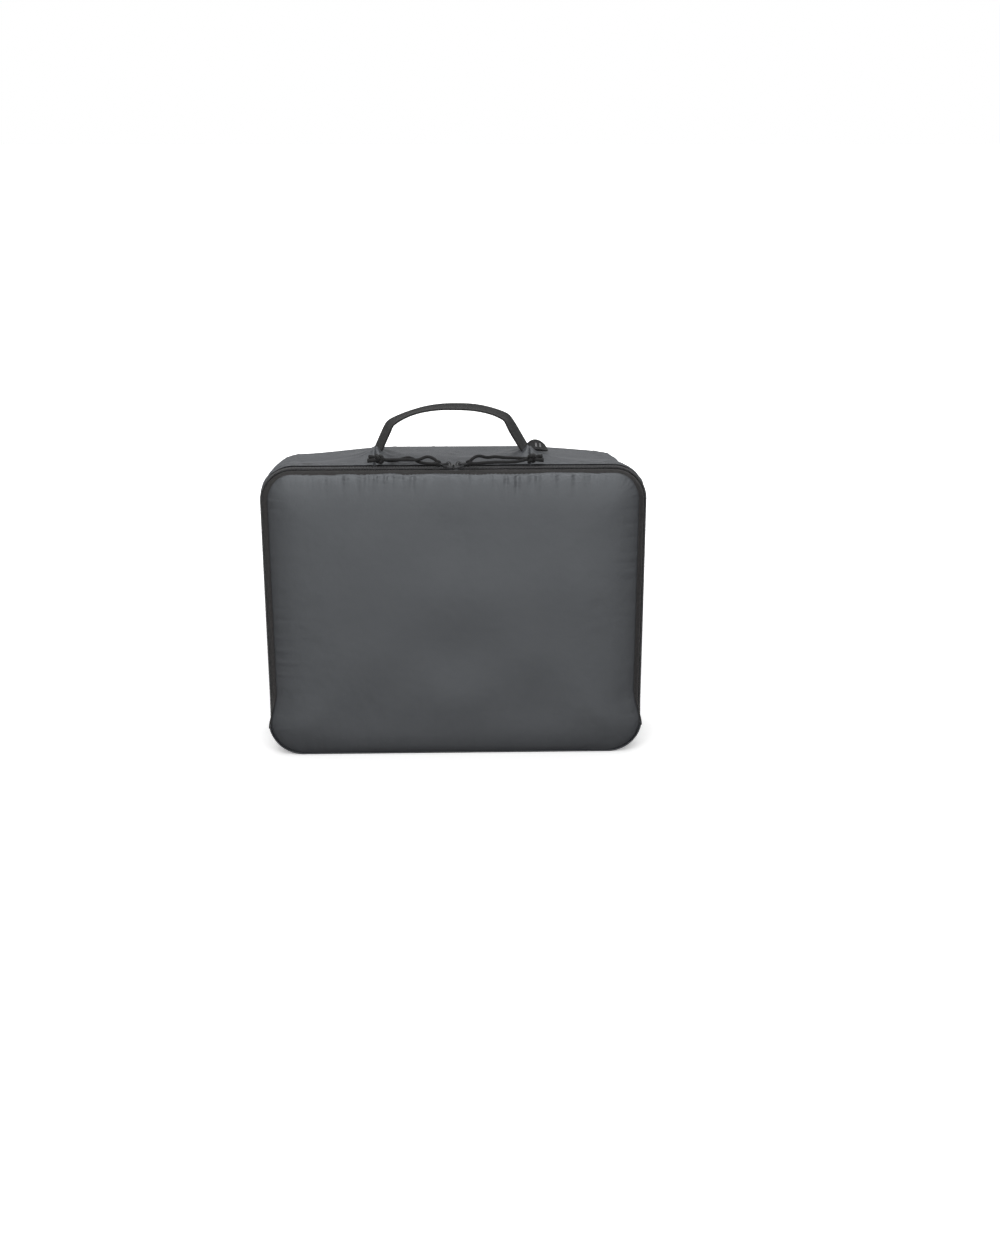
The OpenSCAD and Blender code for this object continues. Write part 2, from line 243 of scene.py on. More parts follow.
def unit(vectors):
    """Vectors scaled to length 1."""
    return vectors / np.linalg.norm(vectors, axis=-1, keepdims=True)


def lengths_along(line):
    """Length from the start of a line to each of its points."""
    return np.concatenate([[0], np.cumsum(np.linalg.norm(np.diff(line, axis=0), axis=1))])


def line_length(line):
    """Length of a whole line."""
    return np.linalg.norm(np.diff(line, axis=0), axis=1).sum()


def read_off(at, lengths, values):
    """Values held at lengths along a line, read off at other lengths."""
    return np.stack([np.interp(at, lengths, values[:, k]) for k in range(values.shape[1])], axis=1)


def arc(centre_x, centre_z, radius, start, end, steps=24):
    """Points of an arc in the front view; angles in degrees."""
    angles = np.radians(np.linspace(start, end, steps + 1))
    return np.stack([centre_x + radius * np.cos(angles), centre_z + radius * np.sin(angles)], axis=1)


def resample(line, fractions):
    """Points at the given shares of a polyline's length."""
    lengths = lengths_along(line)
    return read_off(np.asarray(fractions) * lengths[-1], lengths, line)


def dense_ends(count, strength=0.6):
    """Shares from 0 to 1 that crowd towards both ends."""
    t = np.linspace(0, 1, count)
    return (1 - strength) * t + strength * (0.5 - 0.5 * np.cos(math.pi * t))


def coons(bottom, top, left, right, u, v):
    """Fills four edge curves with a grid: rows follow v, columns follow u."""
    uu = u[None, :, None]
    vv = v[:, None, None]
    ruled_v = (1 - vv) * bottom[None] + vv * top[None]
    ruled_u = (1 - uu) * left[:, None] + uu * right[:, None]
    corners = ((1 - uu) * (1 - vv) * bottom[0] + uu * (1 - vv) * bottom[-1]
               + (1 - uu) * vv * top[0] + uu * vv * top[-1])
    return ruled_v + ruled_u - corners


def panel_grid(half_width, top, top_r, bottom, bottom_r, columns, rows):
    """Front view of a panel with four round corners as a grid; half_width is a function of height."""
    foot_x = float(half_width(bottom + bottom_r))
    head_x = float(half_width(top - top_r))
    heights = np.linspace(bottom + bottom_r, top - top_r, 60)[1:-1]
    side = np.stack([-half_width(heights), heights], axis=1)
    left = np.concatenate([
        arc(-foot_x + bottom_r, bottom + bottom_r, bottom_r, 225, 180), side,
        arc(-head_x + top_r, top - top_r, top_r, 180, 135)])
    right = left * [-1, 1]
    top_line = np.concatenate([
        arc(-head_x + top_r, top - top_r, top_r, 135, 90), arc(head_x - top_r, top - top_r, top_r, 90, 45)])
    bottom_line = np.concatenate([
        arc(-foot_x + bottom_r, bottom + bottom_r, bottom_r, 225, 270),
        arc(foot_x - bottom_r, bottom + bottom_r, bottom_r, 270, 315)])
    u = dense_ends(columns)
    v = dense_ends(rows)
    return coons(resample(bottom_line, u), resample(top_line, u), resample(left, v), resample(right, v), u, v)


def border_of(grid):
    """The closed border of a grid, as points in order."""
    return np.concatenate([grid[0, :-1], grid[:-1, -1], grid[-1, :0:-1], grid[:0:-1, 0]])


# Points measured against the border at a time, to keep the arrays small
BATCH = 2000


def border_distance(grid):
    """For every point of a flat grid: its distance from the border, and the length along it."""
    border = resample(np.concatenate([border_of(grid), grid[:1, 0]]), np.linspace(0, 1, 1201))[:-1]
    lengths = np.linspace(0, line_length(border), len(border))
    flat = grid.reshape(-1, 2)
    distance = np.empty(len(flat))
    along = np.empty(len(flat))
    for start in range(0, len(flat), BATCH):
        batch = slice(start, start + BATCH)
        gap = np.linalg.norm(flat[batch, None] - border[None], axis=2)
        nearest = gap.argmin(axis=1)
        distance[batch] = gap[np.arange(len(nearest)), nearest]
        along[batch] = lengths[nearest]
    return distance.reshape(grid.shape[:2]), along.reshape(grid.shape[:2])


def zip_path(spacing, start_z):
    """Points, outward normals and lengths along the zip: up the left, over the top, down the right."""
    corner_x = HALF_W - TOP_R
    corner_z = TOP - TOP_R
    rise = corner_z - start_z
    bend = TOP_R * math.pi / 2
    total = 2 * rise + 2 * bend + 2 * corner_x
    s = np.linspace(0, total, max(2, int(round(total / spacing)) + 1))
    hand = np.where(s < total / 2, -1, 1)
    from_end = np.minimum(s, total - s)
    turned = np.clip((from_end - rise) / TOP_R, 0, math.pi / 2)
    normals = np.stack([hand * np.cos(turned), np.sin(turned)], axis=1)
    inwards = np.maximum(from_end - rise - bend, 0)
    foot = np.minimum(from_end - rise, 0)
    points = np.stack([hand * (corner_x - inwards), corner_z + foot], axis=1) + TOP_R * normals
    return points, normals, s


def sweep(points, normals, profile):
    """Grid of a profile, given as (outwards, depth) pairs, carried along a path in the front view."""
    profile = np.asarray(profile, float)
    grid = np.empty((len(points), len(profile), 3))
    grid[:, :, 0] = points[:, None, 0] + normals[:, None, 0] * profile[None, :, 0]
    grid[:, :, 2] = points[:, None, 1] + normals[:, None, 1] * profile[None, :, 0]
    grid[:, :, 1] = profile[None, :, 1]
    return grid


def lift(grid, normals, height):
    """Moves a swept grid's points outwards by a height each."""
    grid[:, :, 0] += normals[:, None, 0] * height
    grid[:, :, 2] += normals[:, None, 1] * height
    return grid


# ---- Materials ----

def new_material(name):
    """A node material; returns it with its tree and its Principled shader."""
    material = bpy.data.materials.new(name)
    material.use_nodes = True
    tree = material.node_tree
    return material, tree, tree.nodes["Principled BSDF"]


def node(tree, kind, **inputs):
    """Adds a shader node and sets the inputs that are plain numbers or colours."""
    made = tree.nodes.new(kind)
    for key, value in inputs.items():
        if hasattr(made, key):
            setattr(made, key, value)
        else:
            made.inputs[key.replace("_", " ")].default_value = value
    return made


def set_inputs(shader, **values):
    """Sets a shader's inputs that are plain numbers or colours."""
    for key, value in values.items():
        shader.inputs[key.replace("_", " ")].default_value = value


def maths(tree, operation, a, b=None, clamp=False):
    """A Math node of two links or numbers."""
    made = tree.nodes.new("ShaderNodeMath")
    made.operation = operation
    made.use_clamp = clamp
    for socket, value in zip(made.inputs, (a, b)):
        if value is None:
            continue
        if isinstance(value, (int, float)):
            socket.default_value = value
        else:
            tree.links.new(value, socket)
    return made.outputs[0]


def cloth_coordinates(tree):
    """The two lengths along the cloth, in millimetres."""
    uv = node(tree, "ShaderNodeUVMap", uv_map="cloth")
    split = node(tree, "ShaderNodeSeparateXYZ")
    tree.links.new(uv.outputs["UV"], split.inputs[0])
    return uv.outputs["UV"], split.outputs[0], split.outputs[1]


def waves(tree, length, pitch):
    """A sine of a length with the given pitch, from -1 to 1."""
    return maths(tree, "SINE", maths(tree, "MULTIPLY", length, 2 * math.pi / pitch))


def mottled(tree, vector, scale, detail, dark, light):
    """A colour that wanders between two tones."""
    noise = node(tree, "ShaderNodeTexNoise", Scale=scale, Detail=detail, Roughness=0.55)
    tree.links.new(vector, noise.inputs["Vector"])
    ramp = node(tree, "ShaderNodeValToRGB")
    ramp.color_ramp.elements[0].position = 0.32
    ramp.color_ramp.elements[0].color = (*dark, 1)
    ramp.color_ramp.elements[1].position = 0.68
    ramp.color_ramp.elements[1].color = (*light, 1)
    tree.links.new(noise.outputs["Fac"], ramp.inputs["Fac"])
    return ramp.outputs["Color"], noise.outputs["Fac"]


def add_bump(tree, shader, height, strength, distance):
    """Feeds a height into the shader's normal."""
    bump = node(tree, "ShaderNodeBump", Strength=strength, Distance=distance * MM)
    tree.links.new(height, bump.inputs["Height"])
    tree.links.new(bump.outputs["Normal"], shader.inputs["Normal"])


def shaded(tree, shader, colour, tone):
    """Links a colour to the shader, multiplied by a grey tone; fed a weave, it paints shade into the weave's
    hollows.
    """
    shade = node(tree, "ShaderNodeMix", data_type="RGBA", blend_type="MULTIPLY")
    shade.inputs["Factor"].default_value = 1
    grey = node(tree, "ShaderNodeCombineColor")
    for socket in grey.inputs[:3]:
        tree.links.new(tone, socket)
    tree.links.new(colour, shade.inputs[6])
    tree.links.new(grey.outputs[0], shade.inputs[7])
    tree.links.new(shade.outputs[2], shader.inputs["Base Color"])


def nylon():
    """Charcoal coated nylon: plain weave, satin sheen and a little unevenness."""
    material, tree, shader = new_material("charcoal_nylon")
    uv, u, v = cloth_coordinates(tree)
    colour, _ = mottled(tree, uv, 0.02, 3, (0.026, 0.027, 0.030), (0.031, 0.032, 0.035))
    warp = waves(tree, u, 0.55)
    weft = waves(tree, v, 0.5)
    weave = maths(tree, "MULTIPLY", warp, weft)
    ribs = maths(tree, "ADD", weave, maths(tree, "MULTIPLY", weft, 0.5))
    # The colour follows the weave: a painted shade in its hollows and a faint painted light on its crossings.
    shaded(tree, shader, colour, maths(tree, "ADD", maths(tree, "MULTIPLY", weave, 0.06), 0.97))
    crinkle = node(tree, "ShaderNodeTexNoise", Scale=0.12, Detail=4, Roughness=0.6)
    tree.links.new(uv, crinkle.inputs["Vector"])
    height = maths(tree, "ADD", maths(tree, "MULTIPLY", ribs, 0.10),
                   maths(tree, "MULTIPLY", crinkle.outputs["Fac"], 1.2))
    add_bump(tree, shader, height, 0.5, 0.35)
    set_inputs(shader, Roughness=0.44, Specular_IOR_Level=1.0, Specular_Tint=(0.90, 0.95, 1.0, 1),
               Sheen_Weight=0.12, Sheen_Roughness=0.35, Sheen_Tint=(0.80, 0.86, 1.0, 1))
    return material


def woven(name, dark, light, pitch_u, pitch_v, depth, roughness, sheen, specular=0.3, twill=False):
    """A coarser woven tape, webbing, satin or binding."""
    material, tree, shader = new_material(name)
    uv, u, v = cloth_coordinates(tree)
    colour, _ = mottled(tree, uv, 0.35, 4, dark, light)
    if twill:
        folded = maths(tree, "PINGPONG", v, 3.2)
        along = maths(tree, "ADD", u, folded)
        weave = waves(tree, along, pitch_u)
    else:
        weave = maths(tree, "MULTIPLY", waves(tree, u, pitch_u), waves(tree, v, pitch_v))
    # The colour is darkened with the weave's relief: a painted shade in its hollows.
    shaded(tree, shader, colour, maths(tree, "ADD", maths(tree, "MULTIPLY", weave, 0.22), 0.85))
    add_bump(tree, shader, weave, 0.7, depth)
    set_inputs(shader, Roughness=roughness, Specular_IOR_Level=specular, Sheen_Weight=sheen,
               Sheen_Roughness=0.4)
    return material


def filament(name, scale, detail, dark, light, roughness, sheen=0.0, specular=0.5):
    """Thread or monofilament, mottled between two tones."""
    material, tree, shader = new_material(name)
    place = node(tree, "ShaderNodeTexCoord")
    colour, _ = mottled(tree, place.outputs["Object"], scale, detail, dark, light)
    tree.links.new(colour, shader.inputs["Base Color"])
    set_inputs(shader, Roughness=roughness, Specular_IOR_Level=specular, Sheen_Weight=sheen)
    return material


def gunmetal():
    """Plated slider metal, lighter on its sharp edges: partly rubbed wear, partly a painted highlight."""
    material, tree, shader = new_material("gunmetal")
    place = node(tree, "ShaderNodeTexCoord")
    colour, fac = mottled(tree, place.outputs["Object"], 500, 4, (0.018, 0.018, 0.019), (0.050, 0.051, 0.053))
    edge = node(tree, "ShaderNodeNewGeometry")
    # Sharp edges are painted lighter: rubbed plating and a painted highlight together.
    rubbed_and_highlit = maths(tree, "MULTIPLY", maths(tree, "SUBTRACT", edge.outputs["Pointiness"], 0.5), 6, clamp=True)
    mix = node(tree, "ShaderNodeMix", data_type="RGBA")
    tree.links.new(rubbed_and_highlit, mix.inputs["Factor"])
    tree.links.new(colour, mix.inputs[6])
    mix.inputs[7].default_value = (0.15, 0.155, 0.16, 1)
    tree.links.new(mix.outputs[2], shader.inputs["Base Color"])
    roughness = maths(tree, "ADD", maths(tree, "MULTIPLY", fac, 0.2), 0.22)
    tree.links.new(roughness, shader.inputs["Roughness"])
    set_inputs(shader, Metallic=1)
    add_bump(tree, shader, fac, 0.15, 0.05)
    return material


NYLON = nylon()
# Woven cloths: two tones, the pitches both ways, then relief, roughness, sheen and specular level
# The two zip tapes are one cloth. The tape on the bag is painted darker: a painted shade against the light
# its upturned face takes.
SHADE_PAINTED_ZIP_TAPE = woven("zip_tape_twill_painted_shade", (0.012, 0.012, 0.013), (0.018, 0.018, 0.019), 0.8, 0.8, 0.12, 0.75, 0.05, 0.2,
             twill=True)
# The lid's tape is painted lighter: a painted light in the valley where it sinks.
LIGHT_PAINTED_LID_TAPE = woven("lid_tape_twill_painted_light", (0.034, 0.033, 0.033), (0.048, 0.046, 0.046), 0.8, 0.8, 0.12, 0.75,
                       0.12, 0.2, twill=True)
BINDING = woven("binding_tape", (0.016, 0.016, 0.018), (0.024, 0.024, 0.026), 0.7, 0.7, 0.12, 0.75, 0.3)
WEBBING = woven("ribbed_webbing", (0.010, 0.010, 0.010), (0.017, 0.017, 0.017), 0.9, 1.3, 0.18, 0.65, 0.12,
                0.25)
SATIN = woven("label_satin", (0.005, 0.005, 0.006), (0.009, 0.009, 0.010), 0.3, 0.3, 0.04, 0.42, 0.02, 0.18)
CORD = woven("braided_cord", (0.011, 0.011, 0.011), (0.019, 0.019, 0.020), 1.1, 1.1, 0.12, 0.6, 0.12, 0.2)
# Threads: the scale and detail of the mottling, two tones, then roughness
COIL = filament("zip_monofilament", 900, 2, (0.050, 0.050, 0.053), (0.085, 0.085, 0.088), 0.32, specular=0.6)
THREAD = filament("sewing_thread", 1500, 3, (0.026, 0.026, 0.028), (0.046, 0.047, 0.050), 0.55, sheen=0.3)
PALE_THREAD = filament("pale_thread", 1500, 3, (0.13, 0.13, 0.135), (0.20, 0.20, 0.205), 0.4, sheen=0.3)
METAL = gunmetal()


# ---- Tubes ----

def smooth_line(points, spacing):
    """A smooth curve through points, as points about spacing apart."""
    points = np.asarray(points, float)
    ends = np.concatenate([[2 * points[0] - points[1]], points, [2 * points[-1] - points[-2]]])
    dense = []
    for i in range(len(points) - 1):
        a, b, c, d = ends[i:i + 4]
        for t in np.linspace(0, 1, 24, endpoint=False):
            dense.append(0.5 * (2 * b + (c - a) * t + (2 * a - 5 * b + 4 * c - d) * t * t
                                + (3 * b - a - 3 * c + d) * t ** 3))
    dense.append(points[-1])
    dense = np.array(dense)
    return resample(dense, np.linspace(0, 1, max(3, int(line_length(dense) / spacing) + 1)))


def frames_along(line, closed=False):
    """Two unit vectors square to a line at each of its points, without twisting."""
    if closed:
        ahead = np.roll(line, -1, axis=0) - np.roll(line, 1, axis=0)
    else:
        ahead = np.gradient(line, axis=0)
    ahead = unit(ahead)
    first = np.cross(ahead[0], [0, 0, 1.0])
    if np.linalg.norm(first) < 0.2:
        first = np.cross(ahead[0], [0, 1.0, 0])
    side = np.empty_like(line)
    side[0] = unit(first)
    for i in range(1, len(line)):
        side[i] = unit(side[i - 1] - ahead[i] * side[i - 1].dot(ahead[i]))
    return side, np.cross(ahead, side)


def tube(line, radius, sides=8, closed=False, bumps=None):
    """Vertices, faces and cloth lengths of a tube; bumps scales the radius by angle and length."""
    line = np.asarray(line, float)
    side, up = frames_along(line, closed)
    angles = np.linspace(0, 2 * math.pi, sides, endpoint=False)
    lengths = lengths_along(line)
    radii = np.broadcast_to(np.asarray(radius, float), (len(line),))[:, None] * np.ones((1, sides))
    if bumps is not None:
        radii = radii * bumps(angles[None, :], lengths[:, None])
    rings = (line[:, None] + radii[..., None] * (side[:, None] * np.cos(angles)[None, :, None]
                                                 + up[:, None] * np.sin(angles)[None, :, None]))
    faces = grid_faces(len(line), sides, wrap_rows=closed, wrap_columns=True, flip=True)
    uvs = pairs(lengths[:, None], angles[None] * np.mean(radii), rings.shape[:2])
    if not closed:
        capped(faces, len(line), sides, flip=True)
    return rings.reshape(-1, 3), faces, uvs.reshape(-1, 2)


def joined(parts):
    """Joins several (vertices, faces, uvs) into one."""
    vertices = []
    faces = []
    uvs = []
    count = 0
    for part_vertices, part_faces, part_uvs in parts:
        vertices.append(part_vertices)
        uvs.append(part_uvs)
        faces.extend(tuple(k + count for k in face) for face in part_faces)
        count += len(part_vertices)
    return np.concatenate(vertices), faces, np.concatenate(uvs)


# ---- Puller cords ----

SIGN = {"left": -1, "right": 1}
CORD_D = 2.4
BRAID_PITCH = 5.0
BRAID_STRANDS = 4
BRAID_FULLNESS = 1.10
BRAID_RELIEF = 0.10
KNOT_SIZE = 1.2

# Middles of the strands from the pull tab to the knot: X outwards, Y, and Z above the bag's top, in metres
ROUTES = {
    "left_cord_a": [
        (0.015, -0.033, 0.0035), (0.017, -0.0325, 0.0052), (0.02, -0.0315, 0.0066),
        (0.023, -0.0305, 0.0069), (0.026, -0.03, 0.0062), (0.029, -0.03, 0.0048), (0.0325, -0.03, 0.004),
        (0.036, -0.0298, 0.004), (0.04, -0.0294, 0.004), (0.044, -0.029, 0.004), (0.048, -0.0287, 0.004),
        (0.052, -0.0285, 0.004), (0.056, -0.0283, 0.004), (0.0595, -0.0282, 0.004),
        (0.063, -0.0282, 0.004)],
    "left_cord_b": [
        (0.015, -0.035, 0.002), (0.018, -0.035, 0.0015), (0.021, -0.0345, 0.0015),
        (0.024, -0.0335, 0.0015), (0.027, -0.0315, 0.0015), (0.03, -0.0285, 0.0015),
        (0.033, -0.025, 0.0022), (0.0365, -0.0228, 0.0036), (0.04, -0.0218, 0.0044),
        (0.044, -0.0215, 0.0038), (0.048, -0.0218, 0.0026), (0.052, -0.0225, 0.0018),
        (0.056, -0.0235, 0.0018), (0.0595, -0.0245, 0.0026), (0.063, -0.0258, 0.0036)],
    "right_cord_a": [
        (0.015, -0.033, 0.0035), (0.017, -0.0325, 0.0053), (0.02, -0.0313, 0.0069),
        (0.0235, -0.03, 0.0072), (0.027, -0.0285, 0.0062), (0.03, -0.0265, 0.0052),
        (0.0335, -0.0245, 0.005), (0.037, -0.023, 0.005), (0.041, -0.0225, 0.0046),
        (0.045, -0.0225, 0.0042), (0.049, -0.0228, 0.004), (0.053, -0.0234, 0.004),
        (0.057, -0.0242, 0.004), (0.062, -0.0255, 0.004), (0.067, -0.0268, 0.004)],
    "right_cord_b": [
        (0.015, -0.035, 0.002), (0.018, -0.035, 0.0015), (0.021, -0.0345, 0.0015),
        (0.025, -0.033, 0.0015), (0.029, -0.0315, 0.0015), (0.033, -0.0305, 0.0015),
        (0.037, -0.03, 0.0015), (0.041, -0.0297, 0.0015), (0.045, -0.0295, 0.0015),
        (0.049, -0.0294, 0.0015), (0.053, -0.0294, 0.0016), (0.057, -0.0294, 0.002),
        (0.0605, -0.0294, 0.0026), (0.064, -0.0293, 0.0034), (0.067, -0.0292, 0.004)],
}
# The bight through the tab's eye: one strand passes over the end bar and the other under it.
BIGHT = {
    "a": [(11.9, -33, 1.2), (12.6, -33, 2.6), (13.7, -33, 3.1)],
    "b": [(11.9, -33, 1.2), (12.5, -33.3, -0.1), (13.7, -34.2, 0.1)],
}


def braid(angle, length):
    """Radius of a round braid: strands wind both ways and cross over each other."""
    turn = 2 * math.pi * length / BRAID_PITCH
    one_way = np.cos(BRAID_STRANDS * (angle + turn))
    other_way = np.cos(BRAID_STRANDS * (angle - turn))
    return BRAID_FULLNESS + BRAID_RELIEF * np.maximum(one_way, other_way)


def braided(line):
    """A braided cord along a line, as vertices, faces and cloth lengths."""
    dense = resample(line, np.linspace(0, 1, int(line_length(line) / 0.3) + 2))
    return tube(dense, CORD_D / 2, 24, bumps=braid)


def cord_line(name):
    """The whole middle line of a strand, in millimetres."""
    sign = SIGN[name.split("_")[0]]
    points = list(BIGHT[name[-1]]) + [(x / MM, y / MM, z / MM) for x, y, z in ROUTES[name]]
    line = smooth_line(points, 0.5)
    return line * [sign, 1, 1] + [0, 0, TOP]


def knot_line(centre, tilt):
    """One strand of a tightened overhand knot."""
    t = np.linspace(0, 2 * math.pi, 160, endpoint=False) + 0.3
    ring = 2.05 + 1.25 * np.cos(3 * t)
    line = np.stack([ring * np.cos(2 * t), 1.15 * np.sin(3 * t), ring * np.sin(2 * t)], axis=1)
    turned = np.array(Matrix.Rotation(tilt, 3, "Z") @ Matrix.Rotation(0.5, 3, "X"))
    return np.asarray(centre) + KNOT_SIZE * line @ turned.T


def make_knot(side, centre):
    """A double-strand knot in the cord."""
    sign = SIGN[side]
    parts = []
    for shift in (-0.85, 0.85):
        line = knot_line(centre, sign * 0.7) + [0.15 * sign, shift, 0.25 * shift]
        parts.append(tube(line, CORD_D / 2 * 1.05, 14, closed=True, bumps=braid))
    return add_object(side + "_cord_knot", *joined(parts))


def make_tails(side, centre):
    """The two cut ends behind the knot, each with a melted tip."""
    sign = SIGN[side]
    parts = []
    for shift, lift_by, reach in ((-1.3, -1.3, 10.8), (1.5, 1.7, 9.8)):
        way = ((0, shift * 0.5, 0), (3.6, shift, lift_by * 0.5),
               (reach * 0.72, shift * 1.2, lift_by * 0.9), (reach, shift * 1.4, lift_by * 0.8))
        line = smooth_line([centre + [sign * x, y, z] for x, y, z in way], 0.3)
        length = np.linspace(0, 1, len(line))
        tip = 1.25 + 0.20 * ease(length, 0.80, 0.92) - 0.45 * ease(length, 0.975, 1.0)
        parts.append(tube(line, CORD_D / 2 * tip, 18, bumps=braid))
    return add_object(side + "_cord_ends", *joined(parts))


def make_puller_cord(side):
    """Both strands, the knot and the cut ends of one puller cord."""
    body = side + "_slider"
    knot_low, knot_high = node_box(side + "_knot")
    centre = (knot_low + knot_high) / 2
    knot_piece = make_knot(side, centre)
    finish_piece(knot_piece, body, "cord", CORD, side + "_knot")
    tails = make_tails(side, centre)
    finish_piece(tails, body, "cord", CORD, side + "_cord_tails")
    for strand in "ab":
        name = side + "_cord_" + strand
        line = cord_line(name)
        piece = add_object(side + "_strand_" + strand, *braided(line))
        finish_piece(piece, None, "cord", CORD, name)
        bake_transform(piece)


for cord_side in SIGN:
    make_puller_cord(cord_side)


# ---- Zip sliders ----

def plate(outline, low, high, bevel):
    """A bevelled plate cut to a top-view outline."""
    mesh = bmesh.new()
    lower = [mesh.verts.new((x, y, low)) for x, y in outline]
    face = mesh.faces.new(lower)
    made = bmesh.ops.extrude_face_region(mesh, geom=[face])
    for vertex in [v for v in made["geom"] if isinstance(v, bmesh.types.BMVert)]:
        vertex.co.z = high
    bmesh.ops.recalc_face_normals(mesh, faces=mesh.faces)
    bmesh.ops.bevel(mesh, geom=list(mesh.edges), offset=bevel, segments=3, affect="EDGES", profile=0.6)
    mesh.verts.index_update()
    vertices = np.array([v.co[:] for v in mesh.verts])
    faces = [tuple(v.index for v in f.verts) for f in mesh.faces]
    mesh.free()
    return vertices, faces, vertices[:, :2].copy()


def moved(part, shift, mirror):
    """A (vertices, faces, uvs) part mirrored in X if asked, and moved."""
    vertices, faces, uvs = part
    if mirror:
        vertices = vertices * [-1, 1, 1]
        faces = [face[::-1] for face in faces]
    return vertices + shift, faces, uvs


PLATE_T = 1.2
MOUTH_HALF = 4.4
TAIL_HALF = 3.5


def shield(length):
    """Top view of a slider plate: wide at the mouth, rounded at the tail."""
    round_by = 0.9
    edge = [(-length / 2, MOUTH_HALF - 0.3), (-length / 2 + round_by, MOUTH_HALF), (0.4, MOUTH_HALF),
            (length / 2 - round_by, TAIL_HALF), (length / 2, TAIL_HALF - round_by)]
    return [(x, -y) for x, y in edge] + edge[::-1]


def make_slider_shell(side):
    """Two bevelled plates joined by a post, with rails that guide the coils."""
    low_corner, high_corner = node_box(side + "_slider_body")
    middle = (low_corner + high_corner) / 2
    length = high_corner[0] - low_corner[0]
    half_h = (high_corner[2] - low_corner[2]) / 2
    parts = [plate(shield(length), low, low + PLATE_T, 0.28) for low in (half_h - PLATE_T, -half_h)]
    parts.append(plate([(-length / 2 + 0.4, -0.35), (-length / 2 + 0.4, 0.35), (-1.4, 0.18), (-1.4, -0.18)],
                       -half_h + 0.5, half_h - 0.5, 0.08))
    rail = [(-length / 2 + 0.5, MOUTH_HALF - 0.75), (-length / 2 + 0.5, MOUTH_HALF - 0.05),
            (0.3, MOUTH_HALF - 0.05), (length / 2 - 1.0, TAIL_HALF - 0.05),
            (length / 2 - 1.0, TAIL_HALF - 0.7), (0.3, MOUTH_HALF - 0.75)]
    for low, high in ((half_h - PLATE_T - 0.55, half_h - 0.4), (-half_h + 0.4, -half_h + PLATE_T + 0.55)):
        parts.append(plate(rail, low, high, 0.12))
        parts.append(plate([(x, -y) for x, y in reversed(rail)], low, high, 0.12))
    mirror = side == "left"
    piece = add_object(side + "_slider_shell", *joined([moved(part, middle, mirror) for part in parts]))
    finish_piece(piece, side + "_slider", "slider_metal", METAL, side + "_slider_body")


def make_slider_arch(side):
    """The arched bridge that holds the pull tab."""
    bridge_low, bridge_high = node_box(side + "_slider_bridge")
    bridge_middle = (bridge_low + bridge_high) / 2
    half_l = (bridge_high[0] - bridge_low[0]) / 2
    rise = bridge_high[2] - bridge_low[2]
    half_w = (bridge_high[1] - bridge_low[1]) / 2
    half_t = 0.42
    count = 25
    sides = 16
    steps = np.linspace(0, 1, count)
    arch_x = -half_l + 0.4 + (2 * half_l - 0.8) * steps
    arch_z = rise - half_t - (rise - 0.2) * np.abs(2 * steps - 1) ** 3.2
    around = np.linspace(0, 2 * math.pi, sides, endpoint=False)
    arch = np.stack([arch_x, np.zeros(count), arch_z], axis=1)
    ahead = unit(np.gradient(arch, axis=0))
    up = np.stack([-ahead[:, 2], np.zeros(count), ahead[:, 0]], axis=1)
    rings = (arch[:, None] + half_w * np.cos(around)[:, None] * [0, 1, 0]
             + half_t * up[:, None] * np.sin(around)[:, None]).reshape(-1, 3)
    faces = capped(grid_faces(count, sides, wrap_columns=True), count, sides)
    shift = np.array([bridge_middle[0], bridge_middle[1], bridge_low[2]])
    bridge = add_object(side + "_slider_arch", *moved((rings, faces, rings[:, :2]), shift, side == "left"))
    finish_piece(bridge, side + "_slider", "slider_metal", METAL, side + "_slider_bridge")


def make_pull_loop(side):
    """The pull tab, bent from wire into a rounded rectangle."""
    tab_low, tab_high = node_box(side + "_pull_tab")
    wire_r = (tab_high[2] - tab_low[2]) / 2
    tab_middle = (tab_low + tab_high) / 2
    half_x = (tab_high[0] - tab_low[0]) / 2 - wire_r
    half_y = (tab_high[1] - tab_low[1]) / 2 - wire_r
    corner = 1.35
    loop = np.concatenate([
        arc(across * (half_x - corner), along * (half_y - corner), corner, start, start + 90, 8)
        for across, along, start in ((1, 1, 0), (-1, 1, 90), (-1, -1, 180), (1, -1, 270))])
    loop = resample(np.concatenate([loop, loop[:1]]), np.linspace(0, 1, 121))[:-1]
    loop = np.stack([loop[:, 0], loop[:, 1], np.zeros(len(loop))], axis=1) + tab_middle
    tab = add_object(side + "_pull_loop", *tube(loop, wire_r * 0.92, 14, closed=True))
    finish_piece(tab, side + "_pull", "slider_metal", METAL, side + "_pull_tab")


for slider_side in SIGN:
    make_slider_shell(slider_side)
    make_slider_arch(slider_side)
    make_pull_loop(slider_side)


# ---- Cloth simulation ----

SETTLE_FRAMES = 24


